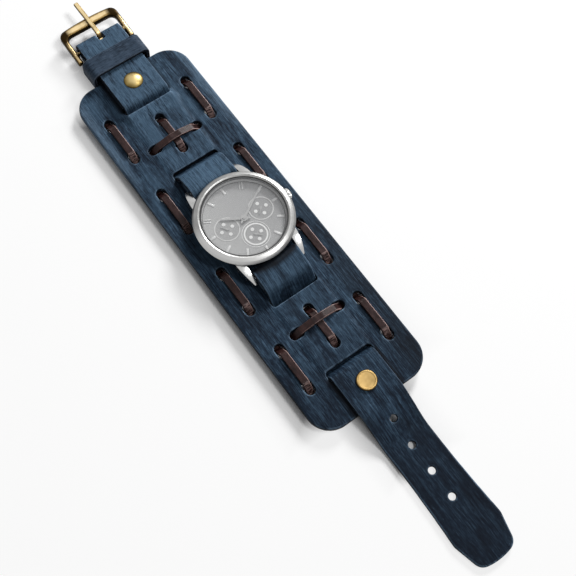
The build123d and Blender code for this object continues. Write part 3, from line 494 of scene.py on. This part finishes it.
def dusty(tree, place, noises):
    """Pale patches, more towards the buckle."""
    return product(tree, level(tree, noises["patch"], *DUST_SPAN),
                   level(tree, place["Y"], *AGED_RUN, *DUST_SHARES))


def stained(tree, place, noises, stain):
    """Dark patches, more towards the tail."""
    return product(tree, level(tree, noises["patch"], *STAIN_SPAN),
                   level(tree, place["Y"], *AGED_RUN, stain, STAIN_LESS * stain))


def scratched(tree, noises):
    """The finest streaks, where the leather is patchy."""
    return product(tree, level(tree, noises["fine"], *SCRATCH_SPAN),
                   level(tree, noises["patch"], *SCRATCH_PATCH))


def worn(tree, noises, pale_rim):
    """Convex edges, and a pale rim where the leather has one."""
    edges = product(tree, edge_factor(tree, *WORN_SPAN),
                    level(tree, noises["broad"], *WORN_STREAKS))
    if pale_rim is None:
        return edges
    rim = product(tree, pale_rim(tree), level(tree, noises["streaks"], *BASE_RIM_STREAKS))
    return maths(tree, "MAXIMUM", edges, rim)


def leather(name, colours, streak_cell, rubbed_highlight_heights, stain, cut,
            dusk=None, dark_rim=None, pale_rim=None, painted_shade=None):
    """Brushed, waxed leather, painted in layers over its streaks, with a painted highlight on high
    parts and, where given, painted shade.
    """
    dark, middle, light = colours
    rubbed_highlight_colour = scaled(light, *RUBBED_HIGHLIGHT_TINT)
    worn_colour = scaled(light, *WORN_TINT)
    material = look(name, middle, 0.5, sockets={"Specular IOR Level": LEATHER_SHINE})
    tree = material.node_tree
    place = place_of(tree)
    noises = leather_noises(tree, streak_cell)
    layers = [(rubbed_highlight(tree, place, noises, rubbed_highlight_heights), rubbed_highlight_colour),
              (dusty(tree, place, noises), light),
              (stained(tree, place, noises, stain), dark)]
    if dusk is not None:
        layers.append((level(tree, place["Y"], *dusk), dark))
    if dark_rim is not None:
        layers.append((dark_rim(tree), dark))
    layers.append((scratched(tree, noises), worn_colour))
    layers.append((product(tree, cut_side(tree, cut), CUT_SHARE), CUT_COLOUR))
    layers.append((worn(tree, noises, pale_rim), worn_colour))
    # Painted shade, laid over all the other layers
    if painted_shade is not None:
        layers.append((product(tree, painted_shade(tree), PAINTED_SHADE_SHARE), PAINTED_SHADE_COLOUR))
    colour = ramp(tree, noises["streaks"], *zip(STREAK_STOPS, colours))
    for share, tint in layers:
        colour = mix(tree, share, colour, tint)
    join(material, "Base Color", colour)
    join(material, "Roughness", level(tree, noises["streaks"], 0.35, 0.65, 0.66, 0.46))
    relief = maths(tree, "ADD", product(tree, noises["streaks"], 0.8),
                   product(tree, noise_of(tree, PORE_CELL), 0.2))
    join(material, "Normal", bump(tree, relief, LEATHER_GRAIN, 0.8))
    return material


def lace_leather():
    """Narrow waxed lace, dark red-brown, with a painted highlight on its edges that face +X and on
    its bends that face -Y, broken up by creases.
    """
    dark, middle, light = LACE_BROWN
    material = look("lace_leather", middle, 0.34, sockets={"Specular IOR Level": LACE_SHINE})
    tree = material.node_tree
    cloud = noise_of(tree, LACE_CLOUD_CELL, 3.0)
    pores = noise_of(tree, LACE_PORE_CELL, 3.0)
    both = maths(tree, "ADD", product(tree, cloud, 0.6), product(tree, pores, 0.4))
    colour = ramp(tree, both, (0.34, dark), (0.5, middle), (0.72, light))
    # Painted highlight on convex edges that face +X
    lit_edges = product(tree, edge_factor(tree, 0.508, 0.530), facing(tree, "X", -0.2, 0.6))
    colour = mix(tree, lit_edges, colour, LACE_EDGE_HIGHLIGHT)
    # Painted highlight on bends that face -Y, broken up by creases
    creases = level(tree, noise_of(tree, LACE_CREASE_CELL), 0.42, 0.60)
    lit_bends = product(tree, facing(tree, "Y", -0.12, -0.40), facing(tree, "Z", 0.45, 0.75),
                   creases, 0.8)
    colour = mix(tree, lit_bends, colour, LACE_BEND_HIGHLIGHT)
    join(material, "Base Color", colour)
    join(material, "Roughness", level(tree, cloud, 0.3, 0.7, 0.30, 0.46))
    join(material, "Normal", bump(tree, pores, LACE_GRAIN, 0.7))
    return material


# Brass materials
def buckle_patina_and_shade(tree):
    """1 in the buckle frame's patinated front corners, and partly along its left arm as painted
    shade.
    """
    low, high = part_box("buckle_frame")
    place = place_of(tree)
    out = unsigned(tree, place["X"])
    corner = product(tree, level(tree, out, *[high.x - inset for inset in PATINA_CORNER_IN]),
                     level(tree, place["Y"], *[high.y - back for back in PATINA_CORNER_BACK]))
    arm = product(tree, level(tree, place["X"], *[low.x + inset for inset in SHADED_ARM_IN]),
                  level(tree, place["Y"], *[low.y + along for along in SHADED_ARM_FROM]),
                  SHADED_ARM_SHARE)
    return maths(tree, "MAXIMUM", corner, arm)


def tongue_highlight(tree):
    """Painted highlight: 1 along the middle of the buckle's tongue, less towards its sides."""
    low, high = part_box("buckle_tongue")
    off = maths(tree, "SUBTRACT", place_of(tree)["X"], (low.x + high.x) / 2.0)
    return level(tree, unsigned(tree, off), *TONGUE_HIGHLIGHT)


def bar_highlight(tree):
    """Painted highlight: 1 along the inner half of the buckle's front bar, less towards its edges,
    and most of it behind the bar along the arms.
    """
    low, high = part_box("buckle_frame")
    along = place_of(tree)["Y"]
    off = maths(tree, "SUBTRACT", along, high.y - BAR_HIGHLIGHT_IN)
    highlight_band = level(tree, unsigned(tree, off), *BAR_HIGHLIGHT)
    bar_end = high.y - BAR_DEPTH
    arms = level(tree, along, bar_end, bar_end - ARM_FADE, 0.0, ARM_SHARE)
    return maths(tree, "MAXIMUM", highlight_band, arms)


def brass(name, colours, roughness, turns, patina_and_shade=None, highlight_band=None):
    """Antique brass: painted shade where it turns away from its top, and a painted highlight on
    top, within a band where one is given.
    """
    dark, middle, light = colours
    material = look(name, middle, roughness, 1.0)
    tree = material.node_tree
    cloud = noise_of(tree, BRASS_CLOUD_CELL)
    pits = noise_of(tree, BRASS_PIT_CELL)
    # Painted shade and highlight: the colour follows how far the surface turns from the object's Z
    turned = maths(tree, "ADD", facing(tree, "Z", *turns), level(tree, cloud, 0.3, 0.7, -0.2, 0.2))
    if highlight_band is not None:
        turned = product(tree, turned, highlight_band(tree))
    colour = ramp(tree, turned, (0.0, dark), (0.50, middle), (0.95, light))
    if patina_and_shade is not None:
        colour = mix(tree, patina_and_shade(tree), colour, dark)
    join(material, "Base Color", colour)
    join(material, "Roughness", level(tree, cloud, 0.3, 0.7, roughness, roughness + 0.15))
    join(material, "Normal", bump(tree, pits, BRASS_GRAIN, 0.4))
    return material


# Materials of the watch head
def bezel_painted_highlight(tree):
    """Painted highlight: 1 on the bezel's side towards 8 o'clock."""
    place = place_of(tree)
    return level(tree, maths(tree, "ADD", place["X"], place["Y"]), *PAINTED_HIGHLIGHT_RUN)


def steel(name, grey, roughness, cell=BRUSHED_CELL, grain=BRUSHED_GRAIN, painted_highlight=None):
    """Brushed or satin steel with faint clouding, and a painted highlight where one is given."""
    material = look(name, grey, roughness, 1.0)
    tree = material.node_tree
    cloud = noise_of(tree, STEEL_CLOUD_CELL, 3.0)
    lines = noise_of(tree, cell)
    colour = mix(tree, level(tree, cloud, 0.35, 0.7), grey, scaled(grey, STEEL_CLOUD_SHARE))
    if painted_highlight is not None:
        colour = mix(tree, painted_highlight(tree), colour, scaled(grey, PAINTED_HIGHLIGHT_SHARE))
    join(material, "Base Color", colour)
    join(material, "Roughness", level(tree, lines, 0.3, 0.7, roughness - 0.05, roughness + 0.08))
    join(material, "Normal", bump(tree, lines, grain, 0.5))
    return material


def plain(name, colour, roughness, metallic=0.0):
    """Moulded or plated material with a little unevenness."""
    material = look(name, colour, roughness, metallic)
    tree = material.node_tree
    cloud = noise_of(tree, PLAIN_CLOUD_CELL, 3.0)
    join(material, "Base Color", mix(tree, cloud, colour, scaled(colour, PLAIN_CLOUD_SHARE)))
    join(material, "Roughness", level(tree, cloud, 0.3, 0.7, roughness, roughness + 0.1))
    return material


def inside_subdials(tree):
    """1 inside the three sub-dials."""
    place = place_of(tree)
    discs = []
    for name in ("left", "right", "lower"):
        low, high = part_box("subdial_ring_" + name)
        across = maths(tree, "SUBTRACT", place["X"], (low.x + high.x) / 2.0)
        along = maths(tree, "SUBTRACT", place["Y"], (low.y + high.y) / 2.0)
        radius = (high.x - low.x) / 2.0
        discs.append(level(tree, reach_of(tree, across, along),
                           *[radius - inset for inset in SUBDIAL_EDGE]))
    return maths(tree, "MAXIMUM", *discs)


def dial_paint():
    """Grey metallic dial, with a painted reflection that makes it paler to one side and duller to
    the other, and darker in the sub-dials.
    """
    material = look("dial_paint", (0.26, 0.26, 0.26), 0.42, 0.5)
    tree = material.node_tree
    grain = noise_of(tree, DIAL_GRAIN_CELL)
    colour = ramp(tree, level(tree, place_of(tree)["X"], *DIAL_SPAN),
                  (0.0, DIAL_PALE), (0.5, DIAL_GREY), (1.0, DIAL_DULL))
    colour = mix(tree, product(tree, inside_subdials(tree), SUBDIAL_SHARE), colour, DIAL_DARK)
    colour = mix(tree, product(tree, grain, DIAL_GRAIN_SHARE), colour, DIAL_DARK)
    join(material, "Base Color", colour)
    join(material, "Normal", bump(tree, grain, DIAL_GRAIN, 0.5))
    return material


def baton_steel():
    """Applied batons: pale tops, with painted shade on their sides that outlines them on the dial.
    """
    material = look("marker_steel", (0.55, 0.55, 0.545), 0.35, 0.3)
    tree = material.node_tree
    # Painted shade on the sides, where they turn from Z
    side = maths(tree, "SUBTRACT", 1.0, facing(tree, "Z", 0.55, 0.95))
    top = mix(tree, noise_of(tree, BATON_GRAIN_CELL), *BATON_GREYS)
    join(material, "Base Color", mix(tree, side, top, BATON_SIDE_SHADE))
    return material


def rehaut_paint():
    """Inner ring of the case: silver, with painted shade as thin black lines at its foot on the
    dial and at its top under the crystal.
    """
    low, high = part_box("rehaut_ring")
    material = look("rehaut_silver", (0.30, 0.30, 0.30), 0.40, 0.5)
    tree = material.node_tree
    height = level(tree, place_of(tree)["Z"], low.z, high.z)
    # Painted shade in the corners at the ring's foot and top
    colour = ramp(tree, height, (0.10, REHAUT_CORNER_SHADE), (0.28, REHAUT_SILVER),
                  (0.72, REHAUT_SILVER), (0.90, REHAUT_CORNER_SHADE))
    cloud = product(tree, noise_of(tree, REHAUT_CLOUD_CELL), 0.3)
    join(material, "Base Color", mix(tree, cloud, colour, REHAUT_DULL))
    return material


def glass():
    material = look("crystal_glass", (0.93, 0.95, 0.97), 0.03, sockets={"Alpha": 0.07})
    material.blend_method = "BLEND"
    return material


LOOKS = {
    "base": leather("base_leather", NAVY, BASE_STREAKS, BASE_RUBBED_HIGHLIGHT, 0.8, "Z",
                    dusk=BASE_DUSK, pale_rim=base_rim, painted_shade=base_painted_shade),
    "strap": leather("strap_leather", NAVY, STRAP_STREAKS, STRAP_RUBBED_HIGHLIGHT, 0.9, "X",
                     dusk=TAIL_DUSK, dark_rim=tail_rim, painted_shade=strap_painted_shade),
    "keeper": leather("keeper_leather", KEEPER_NAVY, KEEPER_STREAKS, STRAP_RUBBED_HIGHLIGHT, 0.3, "Y"),
    "lace": lace_leather(),
    "buckle": brass("antique_brass", BUCKLE_BRASS, 0.26, (0.66, 0.98), highlight_band=tongue_highlight),
    "frame": brass("antique_brass_frame", FRAME_BRASS, 0.30, (0.66, 0.98),
                   buckle_patina_and_shade, bar_highlight),
    "pin": brass("antique_brass_pin", PIN_BRASS, 0.30, (0.66, 1.00)),
    "rivet": brass("rivet_brass", RIVET_BRASS, 0.34, (0.76, 0.99)),
    "stud": brass("stud_brass", STUD_BRASS, 0.36, (0.60, 1.02)),
    "satin": steel("satin_steel", (0.305, 0.305, 0.30), 0.36, SATIN_CELL, SATIN_GRAIN,
                   bezel_painted_highlight),
    "polished": steel("polished_steel", (0.50, 0.50, 0.495), 0.20, grain=POLISHED_GRAIN),
    # A brighter copy of the polished steel: a painted highlight on the crown
    "crown": steel("crown_steel", (0.55, 0.55, 0.54), 0.22, grain=POLISHED_GRAIN),
    "dial": dial_paint(),
    "marker": baton_steel(),
    "pip": plain("pip_enamel", (0.80, 0.80, 0.79), 0.4),
    "hand": plain("hand_steel", (0.31, 0.31, 0.307), 0.45, 0.5),
    "print": plain("ring_paint", (0.62, 0.62, 0.61), 0.45),
    "bold": plain("bold_ring_paint", (0.84, 0.84, 0.83), 0.45),
    "glass": glass(),
    "gasket": plain("black_gasket", (0.012, 0.012, 0.013), 0.55),
    "rehaut": rehaut_paint(),
    "movement": steel("movement_plate_nickel", (0.55, 0.53, 0.48), 0.30),
    "spacer": plain("spacer_plastic", (0.55, 0.55, 0.52), 0.5),
    "board": plain("board_resin", (0.015, 0.09, 0.035), 0.4),
    "copper": plain("coil_copper", (0.62, 0.24, 0.10), 0.3, 1.0),
    "cell": steel("cell_steel", (0.62, 0.62, 0.60), 0.22),
    "gilt": steel("gilt_brass", (0.62, 0.46, 0.20), 0.25),
}


# Shapes
def new_object(name, data):
    thing = bpy.data.objects.new(name, data)
    bpy.context.scene.collection.objects.link(thing)
    return thing


def copy_of(node, name):
    """A welded copy of one CAD node's shape."""
    mesh = frame["nodes"][node].data.copy()
    mesh.materials.clear()
    shape = bmesh.new()
    shape.from_mesh(mesh)
    bmesh.ops.remove_doubles(shape, verts=shape.verts, dist=WELD)
    shape.to_mesh(mesh)
    shape.free()
    return new_object(name, mesh)


def dress(piece, material, *nodes, slot):
    """Give a piece its material and body, and hide the named nodes it stands for; its slot is not
    used.
    """
    piece.data.materials.clear()
    piece.data.materials.append(LOOKS[material])
    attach(piece, frame["nodes"][nodes[0]]["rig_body"])
    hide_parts(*nodes)


def skin(piece, voxel, rounds):
    """Even out a shape into one fine skin and round off its edges."""
    remesh = piece.modifiers.new("skin", "REMESH")
    remesh.mode = "VOXEL"
    remesh.voxel_size = voxel
    graph = bpy.context.evaluated_depsgraph_get()
    mesh = bpy.data.meshes.new_from_object(piece.evaluated_get(graph))
    piece.modifiers.clear()
    piece.data = mesh
    shape = bmesh.new()
    shape.from_mesh(mesh)
    for _ in range(rounds):
        bmesh.ops.smooth_vert(shape, verts=shape.verts, factor=SMOOTH_SHARE,
                              use_axis_x=True, use_axis_y=True, use_axis_z=True)
    shape.to_mesh(mesh)
    shape.free()
    mesh.shade_smooth()


def bevelled(piece, width):
    """Round every sharp edge of a shape, and shade the rest smoothly."""
    sharp_angle = math.radians(SHARP_ANGLE)
    shape = bmesh.new()
    shape.from_mesh(piece.data)
    bmesh.ops.dissolve_limit(shape, angle_limit=math.radians(FLAT_ANGLE),
                             verts=shape.verts, edges=shape.edges)
    sharp = [edge for edge in shape.edges
             if len(edge.link_faces) == 2 and edge.calc_face_angle() > sharp_angle]
    bmesh.ops.bevel(shape, geom=sharp, offset=width, segments=EDGE_SEGMENTS, profile=0.5,
                    affect="EDGES", clamp_overlap=True)
    shape.to_mesh(piece.data)
    shape.free()
    piece.data.shade_smooth()
    piece.data.set_sharp_from_angle(angle=sharp_angle)


def moved(piece, shift):
    """Move a mesh's points by a function of their places."""
    mesh = piece.data
    places = np.empty(len(mesh.vertices) * 3)
    mesh.vertices.foreach_get("co", places)
    places = places.reshape(-1, 3)
    places += shift(places)
    mesh.vertices.foreach_set("co", places.ravel())
    mesh.update()


def smooth_step(value, low, high):
    """Rises softly from 0 at low to 1 at high."""
    share = np.clip((value - low) / (high - low), 0.0, 1.0)
    return share * share * (3.0 - 2.0 * share)


# Leather pieces
def cuff_relief(places):
    """Raise the base over the straps, lift the buckle-end slot's lip, and draw the slots in."""
    out, along = np.abs(places[:, 0]), np.abs(places[:, 1])
    y, z = places[:, 1], places[:, 2]
    raised = smooth_step(z, 0.0, LEATHER_TOP)

    band = 1.0 - smooth_step(out, EMBOSS_HALF_WIDTH - EMBOSS_SOFT, EMBOSS_HALF_WIDTH + EMBOSS_SOFT)
    band *= smooth_step(along, EMBOSS_FROM - EMBOSS_SOFT, EMBOSS_FROM + EMBOSS_SOFT)
    band *= 1.0 - smooth_step(along, EMBOSS_TO - EMBOSS_SOFT, EMBOSS_TO + EMBOSS_SOFT)

    lip = smooth_step(y, LIP_FROM, LIP_TO) * (1.0 - smooth_step(y, LIP_TO, LIP_END))
    lip *= 1.0 - smooth_step(out, LIP_HALF_WIDTH - LIP_SOFT, LIP_HALF_WIDTH)

    shift = np.zeros_like(places)
    shift[:, 1] = lip * (LIP_REACH * raised - DIVE_SHIFT * (1.0 - raised))
    shift[:, 2] = EMBOSS_HEIGHT * band * smooth_step(z, EMBOSS_BOTTOM, LEATHER_TOP)
    shift[:, 2] += LIP_HEIGHT * lip * raised

    beside = smooth_step(out, SLOT_SIDE_SHARE * SLOT_SIDE, SLOT_SIDE)
    beside *= 1.0 - smooth_step(out, SLOT_SIDE, SLOT_FADE)
    for slot in SLOT_PLACES:
        near = 1.0 - smooth_step(np.abs(along - slot), SLOT_REACH_SHARE * SLOT_REACH, SLOT_REACH)
        shift[:, 0] -= SLOT_PINCH * np.sign(places[:, 0]) * beside * near
    return shift


def dive_relief(places):
    """Let the buckle strap dive a little later, under the raised lip of its slot."""
    y = places[:, 1]
    shift = np.zeros_like(places)
    shift[:, 1] = -DIVE_SHIFT * (smooth_step(y, DIVE_FROM, LIP_TO)
                                 * (1.0 - smooth_step(y, DIVE_END, DIVE_CLEAR)))
    return shift


def narrowed(low, high, axis):
    """Draw a lace in, across its run, to its width in the photograph."""
    middle = (low[axis] + high[axis]) / 2.0

    def shift(places):
        moves = np.zeros_like(places)
        moves[:, axis] = (LACE_WIDTH_SHARE - 1.0) * (places[:, axis] - middle)
        return moves
    return shift


def make_leather():
    base = copy_of("cuff_base", "base_skin")
    skin(base, SKIN_VOXEL, SKIN_ROUNDS)
    moved(base, cuff_relief)
    dress(base, "base", "cuff_base", slot="cuff_leather")
    keeper = copy_of("keeper_loop", "keeper_skin")
    skin(keeper, KEEPER_VOXEL, KEEPER_ROUNDS)
    dress(keeper, "keeper", "keeper_loop", slot="strap_leather")
    for node in ("buckle_strap", "tail_strap"):
        strap = copy_of(node, node + "_skin")
        skin(strap, SKIN_VOXEL, SKIN_ROUNDS)
        if node == "buckle_strap":
            moved(strap, dive_relief)
        dress(strap, "strap", node, slot="strap_leather")


def make_laces():
    for node in ("side_lace_left", "side_lace_right", "cross_upright_upper", "cross_bar_upper",
                 "cross_upright_lower", "cross_bar_lower"):
        lace = copy_of(node, node + "_skin")
        skin(lace, LACE_VOXEL, LACE_ROUNDS)
        moved(lace, narrowed(*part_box(node), 1 if node.startswith("cross_bar") else 0))
        dress(lace, "lace", node, slot="lace_leather")


# Metal pieces
def make_buckle():
    for node, material, voxel, rounds in (
            ("buckle_frame", "frame", FRAME_VOXEL, FRAME_ROUNDS),
            ("buckle_tongue", "buckle", TONGUE_VOXEL, TONGUE_ROUNDS)):
        piece = copy_of(node, node + "_cast")
        skin(piece, voxel, rounds)
        dress(piece, material, node, slot="antique_brass")


def make_rivets():
    for node, material in (("buckle_rivet_cap", "rivet"), ("tail_rivet_cap", "stud")):
        piece = copy_of(node, node + "_round")
        bevelled(piece, RIVET_EDGE)
        dress(piece, material, node, slot="antique_brass")


def make_head():
    for node, width, material, slot in (
            ("case_body", CASE_EDGE, "polished", "case_steel"),
            ("hour_markers", MARKER_EDGE, "marker", "marker_silver"),
            ("crown", CROWN_EDGE, "crown", "case_steel"),
            ("bezel", BEZEL_EDGE, "satin", "bezel_steel")):
        piece = copy_of(node, node + "_finish")
        bevelled(piece, width)
        dress(piece, material, node, slot=slot)


# Nodes that are carried over as they are, by material
CARRIED = {
    "polished": ["spring_bar_tube_upper", "spring_bar_tube_lower", "spring_pin_upper_left",
                 "spring_pin_upper_right", "spring_pin_lower_left", "spring_pin_lower_right",
                 "bar_spring_upper", "bar_spring_lower", "winding_stem", "crown_tube",
                 "case_back"],
    "pin": ["buckle_pin"],
    "rivet": ["buckle_rivet_post", "tail_rivet_post"],
    "dial": ["dial"],
    "print": ["subdial_ring_left", "subdial_ring_right"],
    "bold": ["subdial_ring_lower"],
    "pip": ["subdial_pips"],
    "hand": ["hour_hand", "minute_hand", "small_hand_left", "small_hand_right",
             "small_hand_lower", "cannon_pinion"],
    "glass": ["crystal"],
    "gasket": ["crystal_gasket", "case_back_gasket", "crown_gasket"],
    "rehaut": ["rehaut_ring"],
    "movement": ["movement_plate", "stem_yoke"],
    "spacer": ["movement_spacer"],
    "board": ["circuit_board"],
    "copper": ["coil"],
    "cell": ["battery_cell", "battery_clamp"],
    "gilt": ["hour_wheel"],
}


def dress_carried():
    for material, nodes in CARRIED.items():
        for node in nodes:
            slots = frame["nodes"][node].data.materials
            for index in range(len(slots)):
                slots[index] = LOOKS[material]


# Stage
def lamp(name, place, size, watts):
    """A round lamp that points at the part's origin."""
    data = bpy.data.lights.new(name, "AREA")
    data.shape = "DISK"
    data.size = size
    data.energy = watts
    thing = new_object(name, data)
    thing.location = place
    thing.rotation_euler = (-Vector(place)).to_track_quat("-Z", "Y").to_euler()


def seen_directly(tree):
    """1 for camera, glossy and transmitted rays, which see the backdrop as it is."""
    rays = add(tree, "LightPath").outputs
    return maths(tree, "MAXIMUM", rays["Is Camera Ray"], rays["Is Glossy Ray"],
                 rays["Is Transmission Ray"])


def floor_glow_mask(tree):
    """1 where the floor's painted glow shows: beside the object, past its ends and under the
    tail's last two holes.
    """
    place = place_of(tree)
    out = unsigned(tree, place["X"])
    narrow = product(tree, level(tree, unsigned(tree, place["Y"]), *GLOW_ENDS),
                     level(tree, out, *GLOW_NARROW))
    return maths(tree, "MAXIMUM", level(tree, out, *GLOW_BESIDE), narrow,
                 level(tree, place["Y"], *GLOW_TAIL))


def make_floor():
    mesh = bpy.data.meshes.new("floor")
    half = FLOOR_SIZE / 2.0
    height = cad_box[0].z - FLOOR_GAP
    corners = [(-half, -half, height), (half, -half, height), (half, half, height),
               (-half, half, height)]
    mesh.from_pydata(corners, [], [(0, 1, 2, 3)])
    floor = new_object("floor", mesh)
    material = look("floor_paint", (FLOOR_GREY,) * 3, 0.9)
    tree = material.node_tree
    glow = add(tree, "Emission", {"Color": WHITE, "Strength": 1.0})
    share = product(tree, seen_directly(tree), floor_glow_mask(tree), FLOOR_GLOW)
    blend = add(tree, "MixShader", {0: share, 1: tree.nodes["Principled BSDF"].outputs[0],
                                    2: glow.outputs[0]})
    tree.links.new(blend.outputs[0], tree.nodes["Material Output"].inputs["Surface"])
    mesh.materials.append(material)


def make_world():
    world = bpy.data.worlds.new("studio")
    bpy.context.scene.world = world
    world.use_nodes = True
    tree = world.node_tree
    background = tree.nodes["Background"]
    strength = level(tree, seen_directly(tree), 0.0, 1.0, WORLD_LEVEL, 1.0)
    tree.links.new(strength, background.inputs["Strength"])
    background.inputs["Color"].default_value = WHITE


def make_camera():
    azimuth, elevation = math.radians(CAMERA_AZIMUTH), math.radians(CAMERA_ELEVATION)
    roll = math.radians(CAMERA_ROLL)
    back = Vector((math.sin(azimuth) * math.cos(elevation),
                   -math.cos(azimuth) * math.cos(elevation), math.sin(elevation)))
    right = Vector((math.cos(azimuth), math.sin(azimuth), 0.0))
    up = back.cross(right)
    rolled_right = right * math.cos(roll) + up * math.sin(roll)
    rolled_up = up * math.cos(roll) - right * math.sin(roll)
    data = bpy.data.cameras.new("camera")
    data.sensor_width = CAMERA_SENSOR
    data.lens = CAMERA_LENS
    data.clip_start = CAMERA_NEAR
    data.clip_end = CAMERA_FAR
    camera = new_object("camera", data)
    turn = Matrix((rolled_right, rolled_up, back)).transposed().to_4x4()
    camera.matrix_world = Matrix.Translation(CAMERA_TARGET + back * CAMERA_DISTANCE) @ turn
    bpy.context.scene.camera = camera


make_leather()
make_laces()
make_buckle()
make_rivets()
make_head()
dress_carried()
make_floor()
make_world()
lamp("key", KEY_PLACE, KEY_SIZE, KEY_WATTS)
lamp("fill", FILL_PLACE, FILL_SIZE, FILL_WATTS)
make_camera()
bpy.context.scene.view_settings.view_transform = "Standard"
